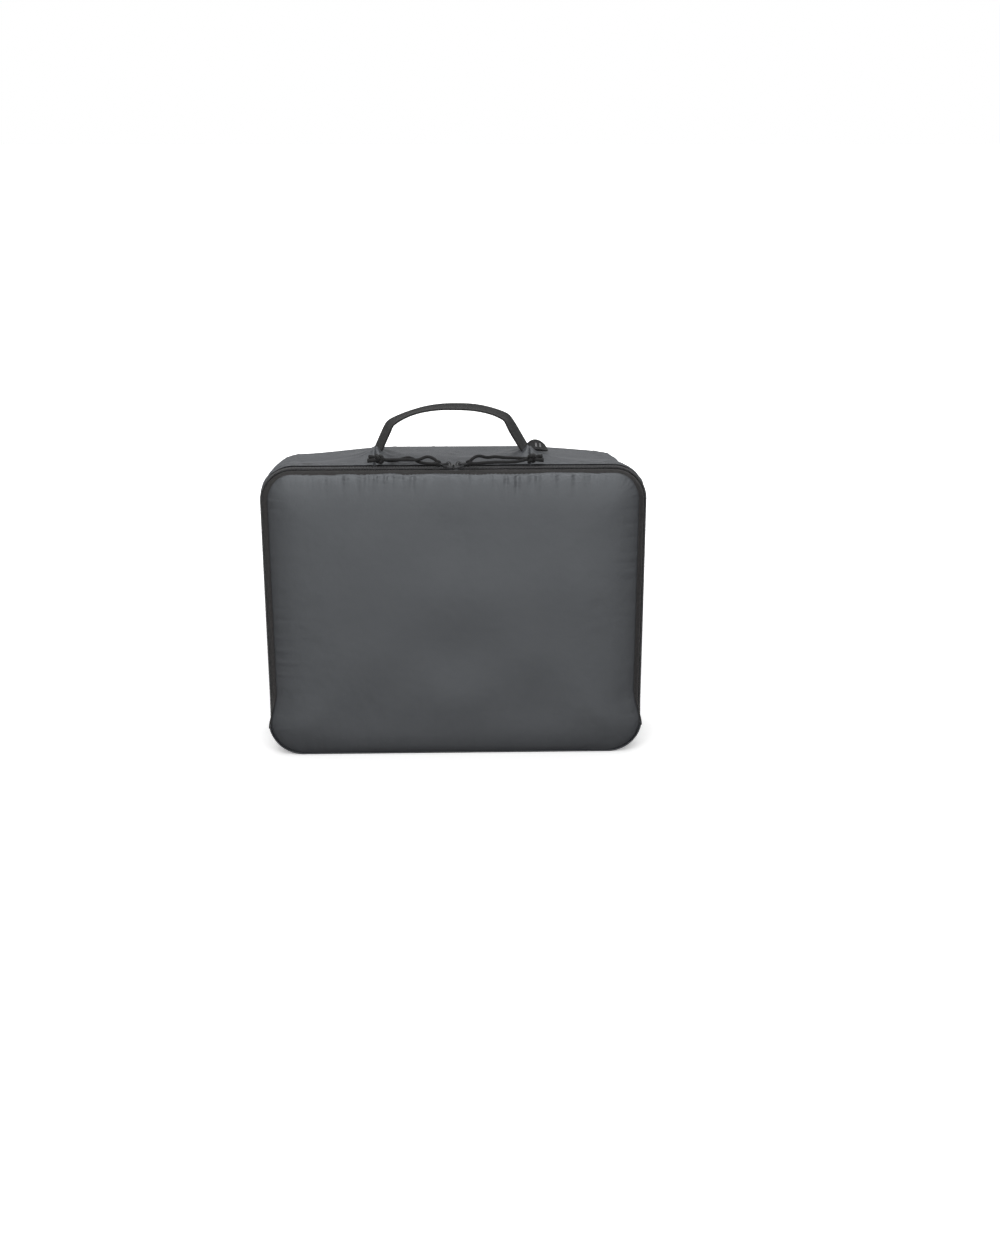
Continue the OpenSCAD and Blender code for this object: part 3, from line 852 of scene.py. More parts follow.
def settle(grid, slack, pressure, seed):
    """Drapes cloth with its border sewn down, blown out along its own faces; returns how far it moved."""
    rows, columns = grid.shape[:2]
    ripple = 0.4 * value_noise(grid.reshape(-1, 3), 14, seed)
    start = grid.reshape(-1, 3) + ripple[:, None] * [0.3, 1, 0.3]
    piece = add_object("settling", start, grid_faces(rows, columns))
    border = np.zeros((rows, columns), bool)
    border[[0, -1]] = True
    border[:, [0, -1]] = True
    group = piece.vertex_groups.new(name="sewn")
    group.add(np.flatnonzero(border.ravel()).tolist(), 1.0, "REPLACE")
    cloth = piece.modifiers.new("cloth", "CLOTH")
    cloth.settings.vertex_group_mass = "sewn"
    cloth.settings.shrink_min = -slack
    cloth.settings.tension_stiffness = 25
    cloth.settings.compression_stiffness = 25
    cloth.settings.shear_stiffness = 8
    cloth.settings.bending_stiffness = 0.08
    cloth.settings.mass = 0.1
    cloth.settings.air_damping = 4
    cloth.settings.use_pressure = True
    cloth.settings.uniform_pressure_force = pressure
    cloth.settings.effector_weights.gravity = 0
    cloth.settings.quality = 7
    cloth.collision_settings.use_self_collision = False
    cloth.point_cache.frame_start = 1
    cloth.point_cache.frame_end = SETTLE_FRAMES
    scene = bpy.context.scene
    for frame_number in range(1, SETTLE_FRAMES + 1):
        scene.frame_set(frame_number)
    graph = bpy.context.evaluated_depsgraph_get()
    settled = piece.evaluated_get(graph).to_mesh()
    points = np.zeros(rows * columns * 3)
    settled.vertices.foreach_get("co", points)
    scene.frame_set(1)
    bpy.data.objects.remove(piece)
    return points.reshape(rows, columns, 3) / MM - grid


def finer(values, rows, columns):
    """Resamples a grid of values to other numbers of rows and columns, with smooth curves between."""
    def along(data, count):
        size = data.shape[0]
        at = np.linspace(0, 1, count) * (size - 1)
        low = np.clip(np.floor(at).astype(int), 0, size - 2)
        t = (at - low)[:, None, None]
        p0 = data[np.clip(low - 1, 0, size - 1)]
        p1 = data[low]
        p2 = data[low + 1]
        p3 = data[np.clip(low + 2, 0, size - 1)]
        return 0.5 * (2 * p1 + (p2 - p0) * t + (2 * p0 - 5 * p1 + 4 * p2 - p3) * t * t
                      + (3 * p1 - p0 - 3 * p2 + p3) * t ** 3)
    if values.ndim == 2:
        values = values[..., None]
    taller = along(values, rows)
    return along(taller.transpose(1, 0, 2), columns).transpose(1, 0, 2)


def settled_change(grid, rows, columns, slack, pressure, seed):
    """How cloth settles, worked out on a coarser grid whose border stays where it is sewn."""
    change = settle(finer(grid, rows, columns), slack, pressure, seed)
    change[[0, -1]] = 0
    change[:, [0, -1]] = 0
    return change


def puckers(along, distance, pitch, depth, reach, seed):
    """Gathers that start at a seam and fade into the cloth; pitch and depth wander along the seam."""
    flat = along.reshape(-1, 1)
    drift = value_noise(flat, 46, seed) * pitch * 0.9
    strength = 0.55 + 0.45 * value_noise(flat, 30, seed + 1)
    length = reach * (1 + 0.6 * value_noise(flat, 17, seed + 2))
    wave = np.sin(2 * math.pi * (flat[:, 0] + drift) / pitch)
    wave += 0.5 * np.sin(2 * math.pi * (flat[:, 0] + 2 * drift) / (pitch * 0.57) + 1.3)
    fade = np.exp(-(np.maximum(distance.ravel(), 0) / length) ** 1.2)
    return (depth * strength * wave * fade).reshape(along.shape)


def relaxed(height, share, rounds):
    """Evens out a grid of heights where share is 1, as taut cloth does, and leaves it where share is 0."""
    height = height.copy()
    for _ in range(rounds):
        middle = 0.25 * (height[:-2, 1:-1] + height[2:, 1:-1] + height[1:-1, :-2] + height[1:-1, 2:])
        height[1:-1, 1:-1] += (middle - height[1:-1, 1:-1]) * share[1:-1, 1:-1]
    return height


def rolled(distance, width):
    """Share by which an edge turns under, as a quarter round over a width from the edge."""
    share = np.clip(1 - distance / width, 0, 1)
    return 1 - np.sqrt(np.clip(1 - share ** 2, 0, 1))


# ---- Front panel ----

def rim_inset(height):
    """Distance from the bag's side to the panel's seam: the zip runs out near the bottom."""
    full = HALF_W - RIM_X
    return 1.2 + (full - 1.2) * ease(height, 26, 64)


FRONT_ROWS = 250
FRONT_COLUMNS = 320


def front_shape():
    """The front panel's outer face, from its sewn border to its crown."""
    flat = panel_grid(lambda z: HALF_W - rim_inset(z), RIM_TOP + 1.6, RIM_R, 1.2, BOTTOM_R,
                      FRONT_COLUMNS, FRONT_ROWS)
    distance, along = border_distance(flat)
    crown = RIM_Y - FRONT
    side_share = ease(np.abs(flat[..., 0]), 90, 150)
    reach = 8.5 + 6.5 * side_share
    edge_swell = (0.60 + 0.22 * side_share) * (1 - np.exp(-distance / reach))
    broad_swell = 0.38 * (1 - np.exp(-(distance / 52) ** 1.1))
    bulge = relaxed(crown * (edge_swell + broad_swell), ease(distance, 2, 14), 70)
    grid = np.stack([flat[..., 0], RIM_Y - bulge, flat[..., 1]], axis=2)
    rows = 66
    columns = 84
    change = settled_change(grid, rows, columns, 0.012, 2.0, 3)
    change[..., 1] -= np.mean(change[8:-8, 8:-8, 1])
    coarse_distance = finer(distance, rows, columns)[..., 0]
    change[..., 1] = 2.2 * np.tanh(change[..., 1] / 2.2) * ease(coarse_distance, 0, 14)
    change[..., [0, 2]] = np.clip(change[..., [0, 2]], -1.2, 1.2)
    grid += finer(change, FRONT_ROWS, FRONT_COLUMNS) * [0.3, 0.12, 0.3]
    gathers = puckers(along, distance, 13, 0.85, 12, 11)
    gathers += puckers(along, distance, 5.2, 0.42, 6, 21)
    gathers = np.maximum(gathers, -0.6)
    along_top = ease(flat[..., 1], RIM_TOP - 24, RIM_TOP - 8) * ease(-np.abs(flat[..., 0]), -142, -118)
    grid[..., 1] -= gathers * (0.16 + 0.84 * along_top) * ease(distance, 0.2, 2.5)
    grid[..., 1] += 1.6 * rolled(distance, 2.0)
    slow = cloth_noise(flat[..., 0] / 1.4, flat[..., 1], 52, 5)
    grid[..., 1] -= 0.9 * slow * ease(distance, 6, 50)
    wander = value_noise(along.reshape(-1, 1), 13, 33).reshape(distance.shape)
    grid[..., 2] += 0.7 * wander * np.exp(-distance / 5) * along_top
    return grid


front_grid = front_shape()
front_piece = cloth_grid("front_cloth", front_grid, 0.6)
finish_piece(front_piece, None, "shell_fabric", NYLON, "front_panel", "front_panel_foot")
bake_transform(front_piece)


# ---- Gussets ----

WALL = 0.6
SEAM_LEFT = HANDLE_X - SEAM_HALF
SEAM_RIGHT = HANDLE_X + SEAM_HALF
CROSS_SEAM_Z = FOLD_Z
STRAP_TWIST = math.radians(22)


def peak(x, y):
    """How high the handle pulls the top of the bag up, at a place on the gusset."""
    total = np.zeros(np.broadcast(x, y).shape)
    for foot_x, height in ((SEAM_LEFT, 9.0), (SEAM_RIGHT, 9.3)):
        past_strap = np.maximum(np.abs(y - HANDLE_Y) - STRAP_W * 0.42, 0)
        far = np.sqrt(((x - foot_x) / 13) ** 2 + (past_strap / 9) ** 2)
        total = total + height * np.exp(-far ** 1.05)
    return total


def foot_folds(x, y):
    """Tension folds that fan out over the gusset from the handle's feet."""
    total = np.zeros(np.broadcast(x, y).shape)
    for foot_x, phase in ((SEAM_LEFT, 0.4), (SEAM_RIGHT, 2.1)):
        dx = x - foot_x
        dy = y - HANDLE_Y
        far = np.hypot(dx, dy)
        angle = np.arctan2(dy, dx)
        fan = np.cos(5 * angle + phase) + 0.6 * np.cos(9 * angle + 2 * phase)
        total = total + 0.75 * fan * ease(far, 4, 15) * np.exp(-(far / 27) ** 1.6)
    return total


# The gusset's front edge is a hem folded over the body's tape, and it sinks a little with the tape.
HEM_Y = GUSSET_Y - 7.0
HEM_SINK = 2.0
BACK_EDGE = BACK - 0.6


def wall_strip(line, out, front_edge, columns):
    """A wall along a path as a grid, with the depth of its points and their distance from a long edge."""
    across = front_edge + (BACK_EDGE - front_edge) * dense_ends(columns, 0.35)
    grid = sweep(line, out, np.stack([np.zeros(columns), across], axis=1))
    depth = across * np.ones((len(line), columns))
    return grid, depth, np.minimum(depth - front_edge, BACK_EDGE - depth)


def gusset_strip(start, stop, rows, columns, outward, seed):
    """A wall of the bag between two lengths along the zip's path, as a grid of points."""
    points, normals, s = zip_path(1.0, CROSS_SEAM_Z)
    at = np.linspace(start, stop, rows)
    line = read_off(at, s, points)
    out = unit(read_off(at, s, normals))
    grid, depth, from_edge = wall_strip(line, out, HEM_Y, columns)
    length = at[:, None] * np.ones(columns)
    from_end = np.minimum(length - start, stop - length)
    height = outward * (1 - np.clip(1 - from_edge / 22, 0, 1) ** 2)
    gathers = puckers(length + 300 * (depth > 10), from_edge, 11, 0.42, 7, seed)
    gathers += puckers(depth, from_end, 9, 0.3, 8, seed + 5)
    height += gathers * ease(from_edge, 0, 2) * ease(from_end, 0, 2)
    height += 0.6 * cloth_noise(length / 1.8, depth, 26, seed + 9) * ease(from_edge, 2, 14)
    height -= HEM_SINK * (1 - ease(depth, HEM_Y, HEM_Y + 24)) ** 1.5
    return lift(grid, out, height)


TUCK_WIDTH = 2.4
TUCK_DEPTH = 2.2


def tuck_ends(grid, at_start, at_end):
    """How far each row of a strip turns down into the cross seams at its cut ends."""
    lengths = lengths_along(grid[:, grid.shape[1] // 2])
    sink = np.zeros(len(lengths))
    if at_start:
        sink = np.maximum(sink, rolled(lengths, TUCK_WIDTH))
    if at_end:
        sink = np.maximum(sink, rolled(lengths[-1] - lengths, TUCK_WIDTH))
    return TUCK_DEPTH * sink


# The back slumps: its top drops towards both corners, and the right corner is pulled in.
LEFT_DROP = 6.6
RIGHT_DROP = 4.8
CORNER_PULL = (-8.0, -3.5)


def slump(x, z, share):
    """How far a point of the bag's outline moves in X and Z as the back slumps; share is 1 at the back."""
    drop = np.where(x < 0, LEFT_DROP, RIGHT_DROP) * ease(np.abs(x), 55, 150) * ease(z, TOP - 60, TOP - 10)
    near = share * np.exp(-((x - HALF_W + 9) ** 2 + (z - TOP + 12) ** 2) / 27 ** 2)
    return CORNER_PULL[0] * near, CORNER_PULL[1] * near - drop * share


def slumped(grid, share):
    """A grid with its points moved as the back slumps."""
    shift_x, shift_z = slump(grid[..., 0], grid[..., 2], share)
    grid[..., 0] += shift_x
    grid[..., 2] += shift_z
    return grid


def raise_top(grid):
    """Lifts the top of the bag into peaks at the handle's feet, and lets it slump towards the back."""
    x = grid[..., 0]
    y = grid[..., 1]
    on_top = ease(grid[..., 2], TOP - 14, TOP - 3)
    edge = ease(y, HEM_Y, HEM_Y + 12) * ease(BACK - y, 0, 8)
    grid[..., 2] += on_top * (peak(x, y) * (0.25 + 0.75 * edge) + foot_folds(x, y) * edge)
    return slumped(grid, ease(y, HEM_Y, HEM_Y + 38))


def make_gussets():
    """The top gusset between the handle's seams and the two side gussets."""
    _, _, s = zip_path(1.0, CROSS_SEAM_Z)
    total = s[-1]
    side_run = (TOP - TOP_R - CROSS_SEAM_Z) + TOP_R * math.pi / 2
    left_end = side_run + (SEAM_LEFT + HALF_W - TOP_R)
    right_start = side_run + (SEAM_RIGHT + HALF_W - TOP_R)
    columns = 100
    for name, start, stop, rows, outward, flat_length, seed in (
            ("top_gusset", left_end, right_start, 190, 0.2, 0.150, 31),
            ("left_gusset", 0, left_end, 360, 0.7, 0.338, 41),
            ("right_gusset", right_start, total, 360, 0.7, 0.338, 51)):
        grid = gusset_strip(start, stop, rows, columns, outward, seed)
        grid[..., 0] *= 1 - 0.0045 * (1 - ease(grid[..., 2], CROSS_SEAM_Z, CROSS_SEAM_Z + 30))
        change = settled_change(grid, max(40, rows // 6), 24, 0.012, 1.2, seed)
        grid += finer(np.clip(change, -1.6, 1.6), rows, columns) * 0.5
        sink = tuck_ends(grid, name != "left_gusset", name != "right_gusset")
        grid = raise_top(grid)
        grid[..., 2] -= sink[:, None] * ease(grid[..., 2], TOP - 20, TOP - 4)
        piece = cloth_grid(name + "_cloth", grid, WALL)
        finish_piece(piece, "bag", "shell_fabric", NYLON, name)


make_gussets()


# The bottom gusset's ends lap over the side gussets and the ends of the zip.
HEM_LAP = 3


def base_path(spacing):
    """Points and outward normals from the left cross seam, under the bag, to the right one."""
    left_x = -HALF_W + BOTTOM_R
    top_z = CROSS_SEAM_Z + HEM_LAP
    short_of_side = math.degrees(math.asin((BOTTOM_R - top_z) / BOTTOM_R))
    line = np.concatenate([
        arc(left_x, BOTTOM_R, BOTTOM_R, 180 + short_of_side, 270, 40),
        arc(-left_x, BOTTOM_R, BOTTOM_R, 270, 360 - short_of_side, 40)])
    line = resample(line, np.linspace(0, 1, int(line_length(line) / spacing)))
    ahead = unit(np.gradient(line, axis=0))
    return line, np.stack([ahead[:, 1], -ahead[:, 0]], axis=1)


def make_base():
    """The bottom gusset, flat where it rests on the floor; its ends are hems that cover the zip's ends."""
    line, out = base_path(1.4)
    columns = 96
    front_edge = RIM_Y - 0.5
    grid, depth, from_edge = wall_strip(line, out, front_edge, columns)
    length = lengths_along(line)[:, None] * np.ones(columns)
    from_end = np.minimum(length, length[-1] - length)
    height = puckers(length + 300 * (depth > 0), from_edge, 12, 0.4, 7, 61)
    height += puckers(depth, from_end, 9, 0.35, 9, 64)
    height += 0.5 * cloth_noise(length / 1.5, depth, 30, 66)
    height *= ease(from_edge, 0, 3)
    height -= 0.9 * (1 - ease(from_end, 0, 1.4)) + 1.3 * (1 - ease(depth, front_edge, front_edge + 1.4))
    grid = lift(grid, out, height)
    grid[..., 2] = np.maximum(grid[..., 2], 0.15)
    piece = cloth_grid("base_cloth", grid, WALL)
    finish_piece(piece, "bag", "shell_fabric", NYLON, "bottom_gusset")


make_base()


# ---- Back panel ----

def make_back():
    """The back: a flat sheet a little slack in its seams."""
    columns = 240
    rows = 190
    flat = panel_grid(lambda z: HALF_W - 0.5 + 0 * z, TOP - 0.4, TOP_R, 0.6, BOTTOM_R, columns, rows)
    distance, along = border_distance(flat)
    grid = np.stack([flat[..., 0], np.full(flat.shape[:2], BACK - 1.2), flat[..., 1]], axis=2)
    change = settled_change(grid, 52, 64, 0.010, -1.4, 71)
    change[..., 1] -= np.mean(change[8:-8, 8:-8, 1])
    grid += finer(np.clip(change, -2, 2), rows, columns) * 0.5
    out = 1.0 * (1 - np.clip(1 - distance / 18, 0, 1) ** 2)
    out += puckers(along, distance, 11, 0.5, 10, 73) * ease(distance, 0.2, 2.5)
    out += 0.5 * cloth_noise(flat[..., 0] / 1.5, flat[..., 1], 40, 75) * ease(distance, 5, 40)
    out -= 1.6 * rolled(distance, 2.4)
    grid[..., 1] += out
    piece = cloth_grid("back_cloth", slumped(grid, 1.0), WALL)
    finish_piece(piece, "bag", "shell_fabric", NYLON, "back_panel")


make_back()


# ---- Zip ----

def surfaced(height):
    """Share of its full sink that the zip has at a height: it comes up to the surface at its ends."""
    return 0.85 + 0.15 * ease(height, FOLD_Z - 4, FOLD_Z + 28)


def on_side(normals):
    """True at the points of the zip's path that lie on the bag's straight sides."""
    return np.abs(normals[:, 0]) > 0.999


ZIP_LOW = FOLD_Z - 1
TAPE_T = 0.7
HIGH_UP = 1000.0


def tape_strip(name, corners, follows_rim):
    """A woven tape carried along the zip's path; one that follows the rim is drawn out at its foot."""
    points, normals, _ = zip_path(1.2, ZIP_LOW)
    profile = rounded_profile(corners, 26)
    grid = sweep(points, normals, profile)
    side = on_side(normals)
    share = np.where(side, surfaced(points[:, 1]), 1.0)
    shallow = np.maximum(profile[:, 0], -4.4) * ease(-profile[:, 1], 14, 19)
    grid = lift(grid, normals, -shallow * (1 - share[:, None]))
    if follows_rim:
        full = rim_inset(HIGH_UP)
        share = np.where(side, rim_inset(points[:, 1]) / full, 1.0)
        drawn = profile[:, 0] * ease(-profile[:, 0], 3.0, full)
        grid[..., 0] -= normals[:, None, 0] * drawn * (1 - share[:, None])
    return cloth_grid(name, grid, TAPE_T)


COIL_PITCH = 1.36
COIL_WIRE = 0.34


def coil(name, low_y, high_y):
    """One side of the zip chain: a flattened helix of monofilament along the zip's path."""
    points, normals, s = zip_path(0.5, ZIP_LOW)
    per_turn = 14
    steps = np.arange(int(s[-1] / COIL_PITCH) * per_turn)
    angles = steps * 2 * math.pi / per_turn
    at = np.minimum(steps * COIL_PITCH / per_turn + 0.4, s[-1])
    centre = read_off(at, s, points)
    out = read_off(at, s, normals)
    half_y = (high_y - low_y) / 2 - COIL_WIRE
    wave_y = np.sign(np.cos(angles)) * np.abs(np.cos(angles)) ** 0.7
    wave_t = np.sign(np.sin(angles)) * np.abs(np.sin(angles)) ** 0.8
    sunk = np.where(on_side(out), surfaced(centre[:, 1]), 1.0)
    level = -COIL_IN * sunk + (1.2 - COIL_WIRE) * wave_t
    line = np.insert(centre + out * level[:, None], 1, (low_y + high_y) / 2 + half_y * wave_y, axis=1)
    return add_object(name, *tube(line, COIL_WIRE, 6))


STITCH = 2.3
STITCH_STEP = 3.0
STITCH_BOW = 0.2 * np.array([-1.5, 0.7, 1.0, 0.7, -1.5])
ALONG_STITCH = STITCH * np.linspace(0, 1, len(STITCH_BOW))


def gusset_stitches(depth, level):
    """A row of machine stitches beside the zip, as short bowed threads."""
    points, normals, s = zip_path(0.5, ZIP_LOW + 6)
    parts = []
    for k in range(int((s[-1] - 4) / STITCH_STEP)):
        at = 2 + k * STITCH_STEP + ALONG_STITCH
        line = read_off(at, s, points) + read_off(at, s, normals) * (level + STITCH_BOW)[:, None]
        parts.append(tube(np.insert(line, 1, depth, axis=1), 0.17, 6))
    return add_object("gusset_topstitch", *joined(parts))


# Profiles of the tapes from the hem inwards, as (outward, depth) pairs
BODY_TAPE = [(-2.9, -15.5), (-2.9, -17.5), (-2.9, -19), (-2.8, -21.5), (-2.7, -24.5), (-2.8, -27.5),
             (-3.0, -29.2), (-3.6, -30.2), (-4.0, -31.2), (-4.0, -32.4)]
LID_TAPE = [(-4.0, -33.7), (-4.0, -35.2), (-3.9, -36.3), (-3.9, -37.2), (-4.3, -38.1), (-5.2, -39.2),
            (-6.4, -40.2), (-7.6, -41.0), (-8.3, -41.4), (-8.9, -41.2)]


def rounded_profile(points, count):
    """A profile with its corners eased, at an even spacing."""
    line = smooth_line([(x, y, 0) for x, y in points], 0.2)
    return resample(line[:, :2], np.linspace(0, 1, count))


def make_zip():
    """Both tapes, both coils and the rows of stitches."""
    # The tape on the bag takes the shade-painted tape cloth, and the lid's tape takes the light-painted one.
    body_tape = tape_strip("zip_tape_on_bag", BODY_TAPE, False)
    finish_piece(body_tape, "bag", "zip_tape", SHADE_PAINTED_ZIP_TAPE, "body_zip_tape")
    lid_tape = tape_strip("zip_tape_on_lid", LID_TAPE, True)
    finish_piece(lid_tape, None, "zip_tape", LIGHT_PAINTED_LID_TAPE, "lid_zip_tape")
    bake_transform(lid_tape)
    body_coil = coil("zip_coil_on_bag", ZIP_Y - 0.35, body_coil_high[1])
    finish_piece(body_coil, "bag", "zip_coil", COIL, "body_zip_coil")
    lid_coil = coil("zip_coil_on_lid", lid_coil_low[1], ZIP_Y + 0.35)
    finish_piece(lid_coil, None, "zip_coil", COIL, "lid_zip_coil")
    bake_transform(lid_coil)
    gusset_row = gusset_stitches(HEM_Y + 1.8, 0.12 - HEM_SINK * 0.93)
    finish_piece(gusset_row, "bag", "binding", THREAD)


make_zip()


# ---- Handle ----

# Middle line of the webbing: X from the handle's middle, and height above the bag's top
STRAP_LINE = [(-72.0, -4), (-70.4, 3), (-67.6, 8), (-64.6, 14), (-61.2, 21), (-58.6, 26), (-56.8, 28.9),
              (-53.6, 31.8), (-46, 35.8), (-36, 39.6), (-24, 42.6), (-10, 44.3), (5, 44.5), (18, 43.9),
              (29, 42.2), (38, 39.8), (44.6, 37.2), (48.2, 35.2), (50.8, 32.2), (54.5, 26), (59.4, 18),
              (63.8, 11), (67.6, 5.5), (70.2, 1.5), (71.6, -4)]


def strap_section():
    """Cross-section of the webbing: rounded edges and shallow ribs that run along it."""
    points = []
    count = 44
    half_w = STRAP_W / 2
    half_t = STRAP_T / 2
    for k in range(count):
        y = -half_w + STRAP_W * (0.5 - 0.5 * math.cos(math.pi * k / count))
        rib = 0.07 * math.cos(2 * math.pi * y / 2.2)
        edge = math.sqrt(max(0, 1 - max(0, abs(y) - half_w + 1.1) ** 2 / 1.21))
        points.append((y, (half_t + rib - 0.12) * edge))
    return points + [(-y, -t) for y, t in points]


def make_strap():
    """One length of ribbed webbing from seam to seam."""
    line = smooth_line(np.array([(x + HANDLE_X, HANDLE_Y, z + TOP) for x, z in STRAP_LINE]), 0.7)
    ahead = unit(np.gradient(line, axis=0))
    share = np.linspace(-1, 1, len(line))
    twist = STRAP_TWIST * np.sign(share) * ease(np.abs(share), 0.3, 0.68)
    lean = 0.05 * np.sin(3 * share) + 0.10 * (1 - share ** 2)
    across = np.stack([np.sin(twist), np.cos(twist), lean], axis=1)
    across = unit(across - ahead * np.sum(across * ahead, axis=1)[:, None])
    up = np.cross(ahead, across)
    section = strap_section()
    cup = 0.012 * np.cos(share * 2.2)
    rings = np.stack([line + across * y + up * (t + cup * y * y)[:, None] for y, t in section], axis=1)
    count = len(section)
    faces = capped(grid_faces(len(line), count, wrap_columns=True), len(line), count)
    uvs = pairs(lengths_along(line)[:, None], np.array([y for y, _ in section]), rings.shape[:2])
    piece = add_object("webbing_strap", rings.reshape(-1, 3), faces, uvs.reshape(-1, 2))
    finish_piece(piece, None, "webbing", WEBBING, "left_handle_leg", "right_handle_leg", "handle_grip")
    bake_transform(piece)


make_strap()


# ---- Label ----

def make_label():
    """A woven satin label folded over once, its ends caught in the seam; a plain two-bar motif stands in."""
    foot = SEAM_RIGHT - 2.0
    reach = 19.0
    half = 8.0
    middle_y = HANDLE_Y + 3
    fold = ((0, 6.0), (3, 6.9), (8, 7.1), (14, 6.6), (reach - 1, 5.9), (reach, 5.4), (reach - 1, 4.9),
            (14, 5.2), (8, 5.4), (3, 5.0), (0, 4.2))
    profile = smooth_line(np.array([(foot + x, 0, z) for x, z in fold]), 0.35)
    columns = 40
    across = np.linspace(-half, half, columns)
    along = np.clip((profile[:, 0] - foot) / reach, 0, 1)
    tilt = 6.0 * np.sin(math.pi * (0.10 + 0.86 * along)) ** 0.7
    back_share = (across + half) / (2 * half)
    grid = np.empty((len(profile), columns, 3))
    grid[:, :, 0] = profile[:, None, 0] - 1.2 * back_share[None] ** 3 * along[:, None]
    grid[:, :, 1] = middle_y + across[None]
    grid[:, :, 2] = TOP + profile[:, None, 2] + tilt[:, None] * back_share[None] ** 1.3
    piece = cloth_grid("woven_label", grid, 0.35, flip=True)
    finish_piece(piece, "bag", "label_satin", SATIN, "label")
    parts = []
    for share in (0.20, 0.30):
        row = int(share * len(profile))
        for y in np.linspace(-3.0, 2.5, 14):
            column = int(round(np.interp(y, across, np.arange(columns))))
            near_point = grid[row, column]
            far_point = grid[row + 5, column]
            line = np.array([near_point, (near_point + far_point) / 2, far_point])
            line[:, 1] = middle_y + y
            line[:, 2] += [0.02, 0.12, 0.02]
            parts.append(tube(resample(line, np.linspace(0, 1, 5)), 0.15, 6))
    motif = add_object("label_motif", *joined(parts))
    finish_piece(motif, "bag", "label_satin", PALE_THREAD)


make_label()


# ---- Bindings inside ----

def binding_section(low_out, high_out, low_y, high_y):
    """A rounded rectangle as (outward, depth) pairs, in order."""
    corner = 0.5
    left = low_out + corner
    right = high_out - corner
    low = low_y + corner
    high = high_y - corner
    turns = ((right, high, 0), (left, high, 90), (left, low, 180), (right, low, 270))
    return np.concatenate([arc(out, depth, corner, start, start + 90, 4) for out, depth, start in turns])


def swept_solid(name, points, normals, section, seed, closed=False):
    """A closed section carried along a path, slightly uneven as hand-guided sewing is."""
    grid = sweep(points, normals, section)
    lengths = lengths_along(points)
    if not closed:
        grid[..., 1] += 0.18 * value_noise(lengths[:, None], 14, seed)[:, None]
    rows, count = grid.shape[:2]
    faces = grid_faces(rows, count, wrap_rows=closed, wrap_columns=True)
    if not closed:
        capped(faces, rows, count)
    uvs = pairs(lengths[:, None], lengths_along(section), (rows, count))
    return add_object(name, grid.reshape(-1, 3), faces, uvs.reshape(-1, 2))


def back_ring(inset, spacing):
    """The back panel's outline drawn in by a distance, with its outward normals; closed."""
    flat = panel_grid(lambda z: HALF_W - inset + 0 * z, TOP - inset, TOP_R - inset, inset, BOTTOM_R - inset,
                      160, 120)
    border = border_of(flat)
    border = resample(np.concatenate([border, border[:1]]), np.linspace(0, 1, int(1150 / spacing) + 1))[:-1]
    ahead = unit(np.roll(border, -1, axis=0) - np.roll(border, 1, axis=0))
    shift_x, shift_z = slump(border[:, 0], border[:, 1], 1.0)
    border += np.stack([shift_x, shift_z], axis=1)
    return border, np.stack([ahead[:, 1], -ahead[:, 0]], axis=1)


def make_bindings():
    """The bound seam allowances inside the bag and round the lid."""
    low, high = node_box("back_seam_binding")
    points, normals = back_ring(1.4, 1.6)
    section = binding_section(-1.4, 0, low[1], high[1] - 0.4)
    back = swept_solid("back_seam_tape", points, normals, section, 1, closed=True)
    finish_piece(back, "bag", "binding", BINDING, "back_seam_binding")

    low, high = node_box("gusset_seam_binding")
    points, normals, _ = zip_path(1.6, ZIP_LOW)
    section = binding_section(-3.2, -1.7, low[1], high[1])
    inner = swept_solid("gusset_seam_tape", points, normals, section, 3)
    finish_piece(inner, "bag", "binding", BINDING, "gusset_seam_binding")

    low, high = node_box("lid_seam_binding")
    points, normals, _ = zip_path(1.6, ZIP_LOW)
    shift = np.where(on_side(normals), rim_inset(HIGH_UP) - rim_inset(points[:, 1]), 0)
    drawn = points + normals * shift[:, None]
    section = binding_section(-12.0, -9.2, low[1] + 0.5, high[1] + 0.5)
    rim = swept_solid("lid_seam_tape", drawn, normals, section, 5)
    finish_piece(rim, None, "binding", BINDING, "lid_seam_binding")
    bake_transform(rim)

    for side_name, seam_x in (("left", SEAM_LEFT), ("right", SEAM_RIGHT)):
        low, high = node_box(side_name + "_cross_seam_binding")
        rows = 40
        y = np.linspace(low[1], high[1], rows)[:, None]
        section = binding_section(-1.2, 1.2, low[2], high[2] + 0.6)
        count = len(section)
        grid = np.empty((rows, count, 3))
        grid[..., 0] = seam_x + 0.5 * np.sin((y - low[1]) / 7.0) + section[:, 0]
        grid[..., 1] = y
        grid[..., 2] = section[:, 1] + 0.3 * np.sin(y / 5.0)
        faces = capped(grid_faces(rows, count, wrap_columns=True, flip=True), rows, count, flip=True)
        uvs = pairs(y, np.arange(count) * 0.9, (rows, count))
        piece = add_object(side_name + "_cross_seam_tape", grid.reshape(-1, 3), faces, uvs.reshape(-1, 2))
        finish_piece(piece, "bag", "binding", BINDING, side_name + "_cross_seam_binding")


make_bindings()


# ---- Topstitching ----

def make_cross_seam_stitches():
    """A row of topstitching beside each cross seam, over the top of the bag."""
    for name, seam_x, away in (("left", SEAM_LEFT, -1), ("right", SEAM_RIGHT, 1)):
        y = np.linspace(GUSSET_Y + 4, BACK - 4, 60)
        flat = np.stack([np.full(60, seam_x + away * 3.0), y, np.full(60, TOP)], axis=1)
        line = raise_top(flat[None])[0] + [0, 0, 0.35]
        total = line_length(line)
        parts = []
        for k in range(int(total / STITCH_STEP)):
            points = resample(line, (k * STITCH_STEP + ALONG_STITCH) / total)
            points[:, 2] += STITCH_BOW
            parts.append(tube(points, 0.2, 6))
        piece = add_object(name + "_cross_topstitch", *joined(parts))
        finish_piece(piece, "bag", "binding", THREAD)


make_cross_seam_stitches()


